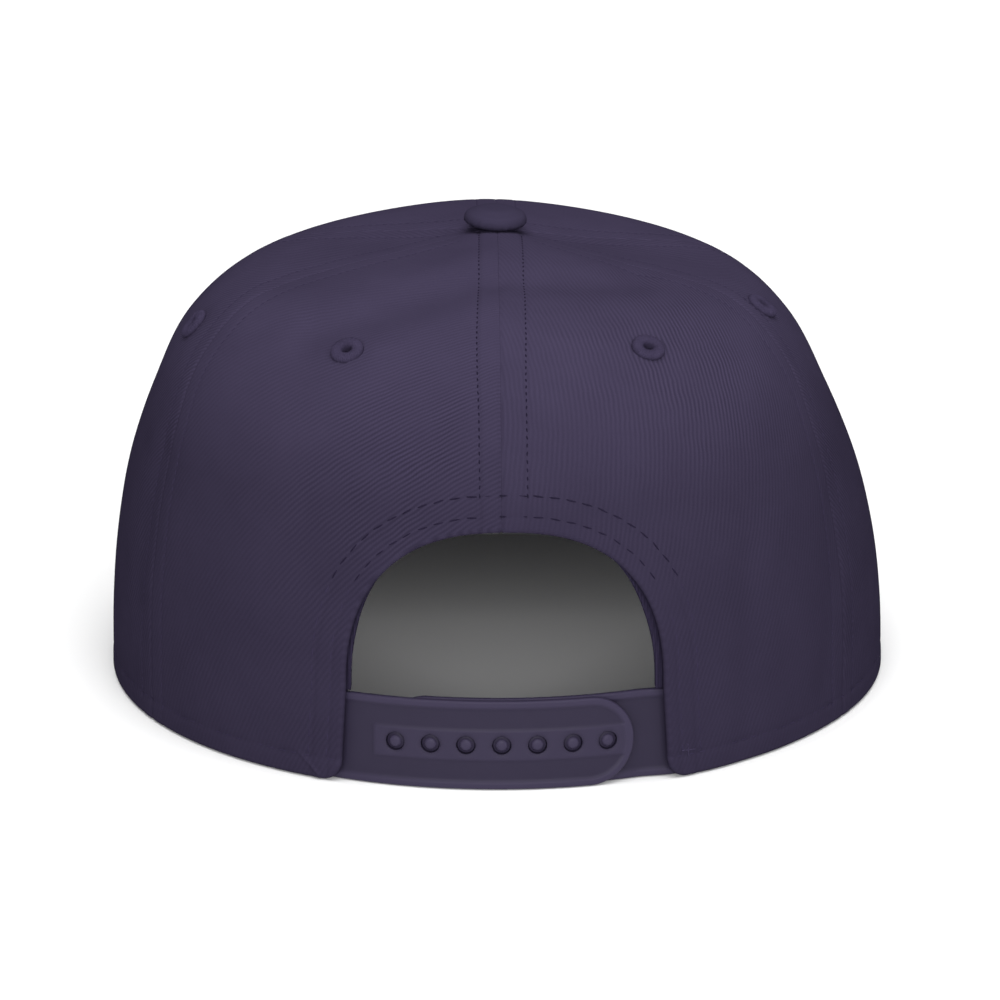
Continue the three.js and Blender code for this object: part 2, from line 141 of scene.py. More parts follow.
# angle, row, to angle, to row, spread, depth: the first two are deeper here than in the frame
FOLDS = (
    (43, 0.655, 8, 0.805, 0.06, 0.018),
    (-4, 0.815, -55, 0.775, 0.06, 0.016),
    (72, 0.700, 40, 0.900, 0.06, 0.006),
    (-37, 0.040, -38, 0.310, 0.05, 0.006),
    (-55, 0.080, -60, 0.330, 0.05, 0.005),
    (66, 0.180, 64, 0.400, 0.05, 0.007),
)

# degrees at the rim and at the top
SEAMS = ((0, 0), (60, 71), (120, 116), (180, 180), (240, 244), (300, 289))
SEAM_SWING = (0.25, 0.85)

# degrees, row
EYELETS = {
    "back_left": (32.5, 0.635), "back_right": (-32, 0.640),
    "side_left": (79, 0.575), "side_right": (-76.5, 0.635),
    "front_left": (148, 0.600), "front_right": (-148, 0.600),
}

visor_low, visor_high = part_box("visor")
CENTRE = np.array([
    500 * (visor_low.x + visor_high.x),
    1000 * cad_low[1] + FRONT_REACH + VISOR_LENGTH,
    1000 * cad_low[2],
])


# The crown's surface

def along_sections(column, row):
    values = SECTIONS[:, COLUMNS.index(column)]
    last = len(values) - 1
    padded = np.concatenate(([2 * values[0] - values[1]], values, [2 * values[-1] - values[-2]]))
    place = np.clip(np.asarray(row, float) * last, 0, last - 1e-9)
    index = place.astype(int)
    share = place - index
    a, b, c, d = (padded[index + k] for k in range(4))
    curve = c - a + share * (2 * a - 5 * b + 4 * c - d + share * (3 * (b - c) + d - a))
    return b + 0.5 * share * curve


def smooth_crown(angle, row):
    angle, row = np.broadcast_arrays(np.asarray(angle, float), np.asarray(row, float))
    lengthways = np.cos(angle) ** 2
    crossways = np.sin(angle) ** 2
    back = np.cos(angle) > 0

    def mixed(what):
        ends = np.where(back, along_sections(f"back_{what}", row), along_sections(f"front_{what}", row))
        return lengthways * ends + crossways * along_sections(f"side_{what}", row)

    reach = mixed("reach")
    rise = mixed("rise")
    swell = 1 + along_sections("square", row) * np.sin(2 * angle) ** 2
    rim_y = np.where(back, BACK_REACH, FRONT_REACH) * np.cos(angle) * swell
    lift = np.where(back, 0, VISOR_CAMBER * lengthways * (1 - rise))
    return np.stack([
        HALF_WIDTH * np.sin(angle) * reach * swell,
        reach * rim_y - (1 - reach) * APEX_FORWARD,
        CROWN_HEIGHT * rise + lift,
    ], axis=-1)


def wrapped(angle):
    return (angle + math.pi) % (2 * math.pi) - math.pi


def pressed_in(angle, row):
    """How deep the dents and folds go at a place."""
    total = np.zeros(np.broadcast(angle, row).shape)
    for at, at_row, spread_angle, spread_row, depth in DENTS:
        sideways = wrapped(angle - math.radians(at)) / math.radians(spread_angle)
        total += depth * HALF_WIDTH * np.exp(-sideways ** 2 - ((row - at_row) / spread_row) ** 2)

    def flat(turn, height):
        return np.stack(np.broadcast_arrays(
            wrapped(turn) * along_sections("side_reach", height), height * SEAM_RUN), axis=-1)

    here = flat(angle, row)
    for at, at_row, to, to_row, spread, depth in FOLDS:
        start = flat(math.radians(at), at_row)
        run = flat(math.radians(to), to_row) - start
        share = np.clip(((here - start) @ run) / (run @ run), 0, 1)
        gap = np.linalg.norm(here - start - share[..., None] * run, axis=-1)
        total += depth * HALF_WIDTH * np.exp(-(gap / spread) ** 2)
    return total


def crown_normal(angle, row):
    step = 1e-3
    safe = np.minimum(row, 1 - 2 * step)
    round_ = smooth_crown(angle - step, safe) - smooth_crown(angle + step, safe)
    up = smooth_crown(angle, safe + step) - smooth_crown(angle, np.maximum(safe - step, 0))
    return unit(np.cross(round_, up))


def unit(vectors):
    return vectors / np.maximum(np.linalg.norm(vectors, axis=-1, keepdims=True), 1e-12)


def level_normals(angle, row):
    """The directions out of the wall, which turn level at the rim."""
    normals = crown_normal(angle, row)
    level = np.minimum(np.asarray(row) / LEVEL_ROW, 1)
    return unit(np.concatenate([normals[..., :2], (normals[..., 2] * level)[..., None]], axis=-1))


def wall_point(angle, row, depth=0.0):
    deep = (depth + pressed_in(angle, row))[..., None]
    return smooth_crown(angle, row) - level_normals(angle, row) * deep


def on_wall(angle, row, depth=0.0):
    return wall_point(angle, row, depth), level_normals(angle, row)


ROWS = np.linspace(0, 1, 2001)
HEIGHTS = CROWN_HEIGHT * along_sections("back_rise", ROWS)
RADII = HALF_WIDTH * along_sections("side_reach", ROWS)


def row_at_height(height):
    return np.interp(height, HEIGHTS, ROWS)


def row_at_radius(radius):
    return float(np.interp(-radius, -RADII, ROWS))


def radius_at(row):
    return np.maximum(HALF_WIDTH * along_sections("side_reach", row), 0.5)


def smoothstep(value, low, high):
    share = np.clip((value - low) / (high - low), 0, 1)
    return share * share * (3 - 2 * share)


def seam_angle(seam, row):
    at_rim, at_top = SEAMS[seam]
    return np.radians(at_rim + (at_top - at_rim) * smoothstep(row, *SEAM_SWING))


def find_on_wall(x, z, depth=0.0):
    """The angle and row on the back of the crown where the wall passes through x and z."""
    step = 1e-4
    row = row_at_height(z)
    angle = np.arcsin(np.clip(x / radius_at(row), -0.9, 0.9))
    for _ in range(10):
        here = wall_point(angle, row, depth)
        by_angle = (wall_point(angle + step, row, depth) - here) / step
        by_row = (wall_point(angle, row + step, depth) - here) / step
        miss_x = x - here[..., 0]
        miss_z = z - here[..., 2]
        area = by_angle[..., 0] * by_row[..., 2] - by_row[..., 0] * by_angle[..., 2]
        angle = angle + (miss_x * by_row[..., 2] - miss_z * by_row[..., 0]) / area
        row = np.clip(row + (miss_z * by_angle[..., 0] - miss_x * by_angle[..., 2]) / area, 0, 0.9)
    return angle, row


ARCH_POINTS = 240
LEG_POINTS = 60


def arch_side(side, margin, foot):
    """The arch from its left or right foot to its top and on down the other side, as x and z."""
    half = ARCH_HALF_WIDTH + margin
    rise = ARCH_TOP + margin - ARCH_SPRING
    turn = np.linspace(0, math.pi / 2, ARCH_POINTS)
    leg_z = foot + (ARCH_SPRING - foot) * np.linspace(0, 1, LEG_POINTS)[:-1]
    leg_x = half + ARCH_FLARE * (1 - leg_z / ARCH_SPRING)
    x = np.concatenate([leg_x, half * np.cos(turn) ** (2 / ARCH_POWER)])
    z = np.concatenate([leg_z, ARCH_SPRING + rise * np.sin(turn) ** (2 / ARCH_POWER)])
    return np.concatenate([side * x, -side * x[-2::-1]]) + ARCH_OFFSET, np.concatenate([z, z[-2::-1]])


# Lines and meshes

# points measured at once, which bounds the memory that distance_to needs
AT_ONCE = 4000
RING_STEPS = 8
EVEN_RELIEF = 0.5


def length_along(line):
    return np.concatenate(([0], np.cumsum(np.linalg.norm(np.diff(line, axis=0), axis=1))))


def resample(line, shares):
    travelled = length_along(line)
    at = shares * travelled[-1]
    return np.stack([np.interp(at, travelled, line[:, k]) for k in range(line.shape[1])], axis=-1)


def distance_to(points, line):
    """The distance from each point to a line of points."""
    start, run = line[:-1], np.diff(line, axis=0)
    square = np.maximum((run ** 2).sum(-1), 1e-12)
    flat = points.reshape(-1, 3)
    found = np.empty(len(flat))
    for begin in range(0, len(flat), AT_ONCE):
        offset = flat[begin:begin + AT_ONCE, None] - start
        share = np.clip((offset * run).sum(-1) / square, 0, 1)
        found[begin:begin + AT_ONCE] = np.linalg.norm(offset - share[..., None] * run, axis=-1).min(axis=1)
    return found.reshape(points.shape[:-1])


def graded(count, low, high, reach):
    """Shares from 0 to 1, closer together near an end by as much as low and high say."""
    x = np.linspace(0, 1, len(ROWS))
    density = 1 + low * np.exp(-(x / reach) ** 2) + high * np.exp(-((1 - x) / reach) ** 2)
    total = np.concatenate(([0], np.cumsum((density[1:] + density[:-1]) / 2)))
    return np.interp(np.linspace(0, 1, count + 1), total / total[-1], x)


def grid_faces(columns, rows, first=0):
    index = first + np.arange((columns + 1) * (rows + 1)).reshape(columns + 1, rows + 1)
    corners = index[:-1, :-1], index[1:, :-1], index[1:, 1:], index[:-1, 1:]
    return np.stack(corners, axis=-1).reshape(-1, 4)


def rim_walk(columns, rows):
    """The places round the edge of a grid, in order."""
    walk = [(i, 0) for i in range(columns)] + [(columns, j) for j in range(rows)]
    walk += [(i, rows) for i in range(columns, 0, -1)] + [(0, j) for j in range(rows, 0, -1)]
    return np.array(walk).T


def closed_sheet(points, normals, thickness, edge):
    """A sheet with worked edges. Edge says how far each ring of the edge stands out along the sheet and
    down through it. Source is the place in the grid that each vertex comes from."""
    columns, rows = points.shape[0] - 1, points.shape[1] - 1
    walk_i, walk_j = rim_walk(columns, rows)
    border, border_normal = points[walk_i, walk_j], normals[walk_i, walk_j]
    within = points[np.clip(walk_i, 1, columns - 1), np.clip(walk_j, 1, rows - 1)]
    sideways = unit(np.cross(np.roll(border, -1, axis=0) - np.roll(border, 1, axis=0), border_normal))
    if ((border - within) * sideways).sum() < 0:
        sideways = -sideways
    rings = [border + sideways * out[:, None] - border_normal * down[:, None] for out, down in zip(*edge)]
    outer = points.reshape(-1, 3)
    inner = (points - normals * np.asarray(thickness)[..., None]).reshape(-1, 3)
    count, loop, place = len(outer), len(walk_i), walk_i * (rows + 1) + walk_j
    last = count + len(rings) * loop
    index = [place] + [count + k * loop + np.arange(loop) for k in range(len(rings))] + [last + place]
    faces = [grid_faces(columns, rows), grid_faces(columns, rows, last)[:, ::-1]]
    for near, far in zip(index[:-1], index[1:]):
        faces.append(np.stack([near, far, np.roll(far, -1), np.roll(near, -1)], axis=-1))
    faces = np.concatenate(faces)
    i, j = columns // 2, rows // 2
    if np.cross(points[i + 1, j] - points[i, j], points[i, j + 1] - points[i, j]) @ normals[i, j] < 0:
        faces = faces[:, ::-1]
    source = np.concatenate([np.arange(count)] + [place] * len(rings) + [np.arange(count)])
    return np.concatenate([outer] + rings + [inner]), faces, source


def rolled_edge(radius, thickness):
    """A folded edge: a half round from the outer face to the inner one."""
    turn = np.pi * np.arange(1, RING_STEPS) / RING_STEPS
    return np.array([radius * np.sin(turn), thickness / 2 * (1 - np.cos(turn))])[..., None]


def cut_edge(radius, thickness):
    """An edge rounded over on the outer face only."""
    step, half = np.arange(1, RING_STEPS), RING_STEPS // 2
    turn = np.minimum(step / half, 1) * math.pi / 2
    past = np.maximum(step - half, 0) / (RING_STEPS - half)
    down = radius * (1 - np.cos(turn)) + past * (thickness - radius)
    return np.array([radius * np.sin(turn), down])[..., None]


def moulded_edge(radius, thickness):
    """An edge with both corners rounded and a flat between them."""
    turn = np.linspace(0, math.pi / 2, RING_STEPS // 2 + 1)[1:]
    out, down = radius * np.sin(turn), radius * (1 - np.cos(turn))
    return np.array([np.append(out, out[::-1]), np.append(down, thickness - down[::-1])])[..., None]


def link(name, data):
    thing = bpy.data.objects.new(name, data)
    bpy.context.scene.collection.objects.link(thing)
    return thing


def mesh_of(name, points, edges=(), faces=()):
    """A mesh in metres from millimetre points in the crown's axes."""
    mesh = bpy.data.meshes.new(name)
    mesh.from_pydata(((points + CENTRE) / 1000).tolist(), list(edges), [list(face) for face in faces])
    return mesh


def new_mesh_from(thing, **settings):
    """The mesh that an object's modifiers make of it."""
    bpy.context.view_layer.update()
    depsgraph = bpy.context.evaluated_depsgraph_get()
    return bpy.data.meshes.new_from_object(thing.evaluated_get(depsgraph), depsgraph=depsgraph, **settings)


def declare(thing, node):
    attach(thing, "root")
    if node:
        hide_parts(node)
    return thing


def make_piece(name, points, faces, material, node, uv=None, relief=EVEN_RELIEF):
    """A piece from millimetre points. The last argument says how strongly each point shows its weave, or
    how far it stands up from a moulding; on a moulding it also sets painted light on raised parts and
    painted shade in recesses."""
    mesh = mesh_of(name, points, faces=faces)
    mesh.polygons.foreach_set("use_smooth", np.ones(len(mesh.polygons), bool))
    if uv is not None:
        corners = np.empty(len(mesh.loops), int)
        mesh.loops.foreach_get("vertex_index", corners)
        layer = mesh.uv_layers.new(name="cloth")
        layer.data.foreach_set("uv", (uv[corners] / 1000).astype(np.float32).ravel())
    marks = np.broadcast_to(np.asarray(relief, np.float32), len(points))
    mesh.attributes.new("relief", "FLOAT", "POINT").data.foreach_set("value", np.ascontiguousarray(marks))
    mesh.materials.append(material)
    mesh.validate()
    return declare(link(name, mesh), node)


def make_sheet(name, sheet, material, node, uv=None, relief=None):
    """A piece from the points, normals, thickness and edge of a sheet, with values for its grid."""
    vertices, faces, source = closed_sheet(*sheet)
    uv = uv if uv is None else uv.reshape(-1, 2)[source]
    relief = EVEN_RELIEF if relief is None else relief.ravel()[source]
    return make_piece(name, vertices, faces, material, node, uv, relief)


# Finishes

SOCKETS = {
    "Place": "Vector", "Body": "Vector", "Light": "Color", "Dark": "Color", "Colour": "Color",
    "Rows": "Geometry", "Stitches": "Geometry", "Seed": "Int", "Thread": "Material",
}


def add(tree, kind, inputs=None, **settings):
    made = tree.nodes.new(kind)
    for key, value in settings.items():
        setattr(made, key, value)
    for key, value in (inputs or {}).items():
        if isinstance(value, bpy.types.NodeSocket):
            tree.links.new(value, made.inputs[key])
        else:
            made.inputs[key].default_value = value
    return made


def node_group(name, kind, inputs, outputs):
    """A node group with named sockets, which are numbers unless SOCKETS says otherwise, and its ends."""
    tree = bpy.data.node_groups.new(name, kind)
    for way, titles in (("INPUT", inputs), ("OUTPUT", outputs)):
        for title in titles.split():
            socket = "NodeSocket" + SOCKETS.get(title, "Float")
            tree.interface.new_socket(title, in_out=way, socket_type=socket)
    return tree, tree.nodes.new("NodeGroupInput").outputs, tree.nodes.new("NodeGroupOutput").inputs


def mix_colour(tree, share, first, second):
    return add(tree, "ShaderNodeMix", {0: share, 6: first, 7: second}, data_type="RGBA").outputs[2]


def noise(tree, place, scale, detail):
    """Soft random values, with the scale in waves to a metre."""
    return add(tree, "ShaderNodeTexNoise", {"Vector": place, "Scale": scale, "Detail": detail}).outputs[0]


class Effect:
    """A shader node group that lays a look on a place."""

    def __init__(self, name, inputs, outputs):
        self.tree, self.given, self.made = node_group(name, "ShaderNodeTree", inputs, outputs)

    def calc(self, operation, *values):
        return add(self.tree, "ShaderNodeMath", dict(enumerate(values)), operation=operation).outputs[0]

    def grow(self, value, factor, extra):
        return self.calc("MULTIPLY_ADD", value, factor, extra)

    def noise(self, scale, detail):
        return noise(self.tree, self.given["Place"], scale, detail)

    def wave(self, value):
        """A wave from 0 to 1 with one crest for each whole number."""
        return self.grow(self.calc("SINE", self.calc("MULTIPLY", value, 2 * math.pi)), 0.5, 0.5)

    def shade(self, share):
        """The cloth's or the plastic's colour between dark and light."""
        return mix_colour(self.tree, share, self.given["Dark"], self.given["Light"])

    def give(self, **results):
        for title, socket in results.items():
            self.tree.links.new(socket, self.made[title])
        return self.tree


# share of the height set under this table, tone: painted light, the cloth's colour darker low down and
# paler where it bends over to the top, as if lit from above
PAINTED_TOP_LIGHT = ((0.15, 0.62), (0.56, 0.645), (0.82, 0.98), (1.0, 1.0))
PAINTED_LIGHT_HEIGHT = 0.11
# how far ribs wander, yarns' pitch as a share of the ribs', and the yarns' part of the height
RIB_DRIFT = 0.8
YARN_PITCH = 0.62
YARN_PART = 0.25
WEAVE_PITCH = 0.0007


def twill_effect():
    """Slanted ribs across the piece's own first coordinate, with yarns along them, and painted light that
    makes the colour paler toward the top.
    """
    look = Effect("twill ribs", "Place Body Relief Rib Light Dark", "Colour Height Roughness")
    given, calc, grow = look.given, look.calc, look.grow
    axes = add(look.tree, "ShaderNodeSeparateXYZ", {0: given["Place"]}).outputs
    drift = look.noise(170.0, 1.0)
    across = calc("ADD", calc("DIVIDE", axes[0], given["Rib"]), calc("MULTIPLY", drift, RIB_DRIFT))
    along = calc("DIVIDE", axes[1], calc("MULTIPLY", given["Rib"], YARN_PITCH))
    rib, yarn = look.wave(across), look.wave(calc("ADD", along, across))
    fuzz, slow, patches = look.noise(2600.0, 2.0), look.noise(60.0, 3.0), look.noise(110.0, 2.0)
    strength = calc("MULTIPLY", given["Relief"], grow(patches, 1.3, -0.03))
    height = grow(yarn, calc("MULTIPLY", rib, YARN_PART), calc("MULTIPLY", rib, 1 - YARN_PART))
    height = calc("MULTIPLY", calc("SUBTRACT", height, 0.5), strength)
    height = calc("ADD", grow(fuzz, 0.24, height), 0.38)
    colour = look.shade(grow(height, 0.75, calc("MULTIPLY", slow, 0.25)))
    # painted light: the colour is scaled by a ramp of the height above the floor, so the top of the crown
    # comes out paler
    level = add(look.tree, "ShaderNodeSeparateXYZ", {0: given["Body"]}).outputs[2]
    painted_light = add(look.tree, "ShaderNodeValToRGB", {0: calc("DIVIDE", level, PAINTED_LIGHT_HEIGHT)})
    stops = painted_light.color_ramp.elements
    stops[0].position = PAINTED_TOP_LIGHT[0][0]
    for place, _ in PAINTED_TOP_LIGHT[1:-1]:
        stops.new(place)
    for stop, (_, tone) in zip(stops, PAINTED_TOP_LIGHT):
        stop.color = (tone, tone, tone, 1.0)
    painted_light_colour = add(look.tree, "ShaderNodeVectorMath", {0: colour, 1: painted_light.outputs[0]}, operation="MULTIPLY")
    return look.give(Colour=painted_light_colour.outputs[0], Height=height, Roughness=grow(fuzz, 0.16, 0.78))


def crease_effect():
    """The soft unevenness of worn cloth."""
    look = Effect("soft creases", "Place", "Height")
    broad = look.noise(38.0, 2.0)
    return look.give(Height=look.grow(look.noise(150.0, 2.0), 0.22, broad))


def tape_effect():
    """A plain weave, over and under in both directions."""
    look = Effect("plain weave", "Place Light Dark", "Colour Height")
    counted = add(look.tree, "ShaderNodeVectorMath", {0: look.given["Place"], 3: 2 * math.pi / WEAVE_PITCH},
                  operation="SCALE").outputs[0]
    axes = add(look.tree, "ShaderNodeSeparateXYZ", {0: counted}).outputs
    weave = look.calc("MULTIPLY", look.calc("SINE", axes[0]), look.calc("SINE", axes[1]))
    height = look.grow(weave, 0.3, look.grow(look.noise(1800.0, 2.0), 0.4, 0.3))
    return look.give(Colour=look.shade(height), Height=height)


def thread_effect():
    """The twist of a sewing thread."""
    look = Effect("twisted thread", "Place Light Dark", "Colour Height Roughness")
    twist, tone = look.noise(3200.0, 1.0), look.noise(500.0, 1.0)
    colour = look.shade(look.grow(twist, 0.6, look.calc("MULTIPLY", tone, 0.4)))
    return look.give(Colour=colour, Height=twist, Roughness=look.grow(tone, 0.3, 0.5))


def moulding_effect():
    """Satin plastic with the faint mottle and fine scuffs of a moulding, and painted light: its colour is
    paler on raised parts and darker, as painted shade, in recesses.
    """
    look = Effect("satin moulding", "Place Relief Light Dark", "Colour Height Roughness")
    mottle, grain = look.noise(220.0, 3.0), look.noise(1900.0, 2.0)
    # painted light and shade: the colour goes from dark in recesses to light on raised parts by the piece's
    # attribute, with a little mottle
    colour = look.shade(look.grow(look.given["Relief"], 0.8, look.calc("MULTIPLY", mottle, 0.2)))
    return look.give(Colour=colour, Height=look.grow(grain, 0.35, mottle),
                     Roughness=look.grow(mottle, 0.18, 0.40))


def bump(tree, height, depth, normal=None):
    """A bump from a distance in metres and a strength."""
    inputs = {"Height": height, "Distance": depth[0], "Strength": depth[1]}
    return add(tree, "ShaderNodeBump", inputs | ({"Normal": normal} if normal else {})).outputs["Normal"]


def finish_with(name, group, light, dark, fine, creases=None, rib=None, roughness=None, specular=0.0):
    """A material whose colour and surface come from an effect. Ribs lie on the piece's own UV map."""
    material = bpy.data.materials.new(name)
    material.use_nodes = True
    tree = material.node_tree
    shader = tree.nodes["Principled BSDF"].inputs
    where = add(tree, "ShaderNodeTexCoord").outputs
    worked = add(tree, "ShaderNodeGroup", {}, node_tree=group)
    given, made = worked.inputs, worked.outputs
    tree.links.new(where["UV" if rib else "Object"], given["Place"])
    given["Light"].default_value, given["Dark"].default_value = (*light, 1.0), (*dark, 1.0)
    if rib:
        given["Rib"].default_value = rib
        tree.links.new(where["Object"], given["Body"])
    # this attribute scales the weave on cloth, and on the moulding it sets painted light and shade
    if "Relief" in given:
        marks = add(tree, "ShaderNodeAttribute", attribute_name="relief")
        tree.links.new(marks.outputs["Fac"], given["Relief"])
    tree.links.new(made["Colour"], shader["Base Color"])
    if "Roughness" in made:
        tree.links.new(made["Roughness"], shader["Roughness"])
    else:
        shader["Roughness"].default_value = roughness
    shader["Specular IOR Level"].default_value = specular
    normal = None
    if creases:
        soft = add(tree, "ShaderNodeGroup", node_tree=crease_group)
        tree.links.new(where["Object"], soft.inputs["Place"])
        normal = bump(tree, soft.outputs["Height"], creases)
    tree.links.new(bump(tree, made["Height"], fine, normal), shader["Normal"])
    return material


twill_group = twill_effect()
crease_group = crease_effect()
tape_group = tape_effect()
thread_group = thread_effect()
moulding_group = moulding_effect()

twill = finish_with(
    "twill", twill_group, (0.0565, 0.0462, 0.0870), (0.0205, 0.0166, 0.0330), (0.00012, 0.75),
    creases=(0.0012, 0.45), rib=0.00106)
button_cloth = finish_with(
    "button cloth", twill_group, (0.0362, 0.0302, 0.0567), (0.0272, 0.0226, 0.0432), (0.00003, 0.3),
    creases=(0.0008, 0.4), rib=0.00050)
tape = finish_with(
    "tape", tape_group, (0.026, 0.021, 0.042), (0.010, 0.008, 0.017), (0.00010, 0.6),
    creases=(0.0008, 0.4), roughness=0.92)
sewing_thread = finish_with(
    "sewing thread", thread_group, (0.019, 0.015, 0.032), (0.007, 0.0055, 0.012), (0.00006, 0.6))
cloth_thread = finish_with(
    "cloth thread", thread_group, (0.034, 0.027, 0.056), (0.018, 0.0145, 0.030), (0.00006, 0.5))
embroidery_thread = finish_with(
    "embroidery thread", thread_group, (0.048, 0.039, 0.076), (0.020, 0.016, 0.032), (0.00006, 0.5))
plastic = finish_with(
    "strap plastic", moulding_group, (0.0300, 0.0243, 0.0485), (0.0188, 0.0151, 0.0308), (0.00003, 0.4),
    specular=0.10)


# The panels

SEAM_EDGE = 0.15
SEAM_OVERLAP = 0.02
SEAM_INSET = SEAM_GAP / 2 + SEAM_EDGE
EDGE_BLEND = 6
ROLL = CLOTH / 2
SEAM_ROW = 5.1
# how clearly the stitching marks the cloth beside each seam
SEAM_MARKS = (1.0, 0.35, 0.35, 0.35, 0.35, 0.35)
# row, left, right: how far the stitches stand off the centre-back seam
SEAM_WANDER = np.array([
    (0.46, 4.6, 5.6), (0.56, 4.85, 5.7), (0.62, 5.25, 5.8), (0.68, 5.4, 6.1), (0.77, 4.9, 6.0),
    (0.83, 4.6, 5.8), (0.93, 4.3, 5.7),
])
ARCH_ROWS = (3.3, 7.4)
ARCH_FADE = 47.0
HEM_ROW = 5.0
# share, waves in a turn and phase of the hem's uneven depth
HEM_WAVER = ((0.25, 37, 0), (0.15, 91, 2))
# pull and width of a row's groove, then the swell of the cloth up to it and where that ends on either side
SEAM_SEWN = (0.24, 0.6, 0.12, 1.0, 0.6)
HEM_SEWN = (0.24, 0.9, 0.08, 1.4, 0.4)
ARCH_SEWN = (0.13, 0.6, 0.10, 1.0, 0.5)
# depth of a seam's own groove, the part that a marked seam adds, how far it closes and between which rows
SEAM_GROOVE = (0.12, 0.22, 0.6, (0.58, 0.75))
SEAM_FADE = (10, 15)
# the line of the mitred hem at the right foot of the arch, as x of both ends and z of both, and its ridge
MITRE = ((40.4, 1.2), (44.6, 5.4))
MITRE_RIDGE = (0.35, 0.4)
# pull, radius and width of the groove round an eyelet
EYELET_PULL = (0.34, 4.3, 0.8)
VENT_SLACK = 0.2
CORNER = 3.5
RIM_TOP = row_at_radius(SHANK_RADIUS + CLEARANCE + 1.2)
ACROSS = graded(104, 4, 4, 0.10)
UPWARD = graded(140, 3, 0, 0.07)
ROUND_ARCH = graded(150, 3.5, 4, 0.08)


def bell(value, middle, width):
    return np.exp(-((value - middle) / width) ** 2)


def row_gap(seam, side, row):
    """How far a row of stitches stands off its seam."""
    if seam != 0:
        return np.full(np.shape(row), SEAM_ROW)
    left, right = (np.interp(row, SEAM_WANDER[:, 0], SEAM_WANDER[:, k]) for k in (1, 2))
    return np.where(np.asarray(side) > 0, left, right)


def sewn_row(gap, at, pull, width, swell, before, after):
    return pull * bell(gap, at, width) - swell * (1 - smoothstep(gap, at - before, at + after))


def sewn_depth(points, angle, row, seams, rim, arch, eyelet):
    """How far the sewing draws the cloth in."""
    depth = np.zeros(angle.shape)
    groove, marked, closing, closes = SEAM_GROOVE
    for seam in seams:
        off = wrapped(angle - seam_angle(seam, row))
        gap = radius_at(row) * np.sin(np.minimum(np.abs(off), math.pi / 2))
        mark = SEAM_MARKS[seam]
        fade = 1.0 if seam == 0 else smoothstep(radius_at(row), *SEAM_FADE)
        depth += (groove + marked * mark) * (1 - closing * smoothstep(row, *closes)) * bell(gap, 0, 0.6)
        depth += fade * mark * sewn_row(gap, row_gap(seam, np.sign(off), row), *SEAM_SEWN)
    pull, *swell = HEM_SEWN
    uneven = 1 - sum(share for share, _, _ in HEM_WAVER)
    uneven = uneven + sum(share * np.sin(angle * waves + phase) for share, waves, phase in HEM_WAVER)
    depth += sewn_row(distance_to(points, rim), HEM_ROW, pull * uneven, *swell)
    if arch is not None:
        to_arch = distance_to(points, arch)
        depth += ARCH_SEWN[0] * bell(to_arch, ARCH_ROWS[0], ARCH_SEWN[1])
        depth += sewn_row(to_arch, ARCH_ROWS[1], *ARCH_SEWN)
        fold = wall_point(*find_on_wall(*np.array(MITRE).T))
        depth -= MITRE_RIDGE[0] * bell(distance_to(points, fold), 0, MITRE_RIDGE[1])
    pull, radius, width = EYELET_PULL
    return depth + pull * bell(np.linalg.norm(points - eyelet, axis=-1), radius, width)


def rise_at(middle):
    """The length of cloth from the rim up to each of ROWS, at an angle."""
    return length_along(smooth_crown(np.full(ROWS.shape, middle), ROWS))


def laid_flat(angle, row, middle):
    """Places on a panel laid flat, seen from outside: rightwards from its middle and up from its rim."""
    return -(angle - middle) * radius_at(row), np.interp(row, ROWS, rise_at(middle))


def cloth_uv(x, y, centre, clearest):
    """Coordinates across and along the ribs, which lie on the drawn cloth in wide arcs round a centre."""
    x, y = x - centre[0], y - centre[1]
    arc = math.hypot(clearest[0] - centre[0], clearest[1] - centre[1])
    return np.stack([np.hypot(x, y), arc * np.arctan2(y, x)], axis=-1)


def plain_grid(first, second):
    """Angles and rows of a panel between two seams."""
    middle = math.radians(SEAMS[first][0] + SEAMS[second][0]) / 2
    rise = rise_at(middle)
    up = np.interp(ROLL + UPWARD * (np.interp(RIM_TOP, ROWS, rise) - ROLL), rise, ROWS)
    inset = SEAM_INSET / radius_at(up)
    low, high = seam_angle(first, up) + inset, seam_angle(second, up) - inset
    angle = low + (high - low) * ACROSS[:, None]
    return angle, np.broadcast_to(up, angle.shape).copy(), middle


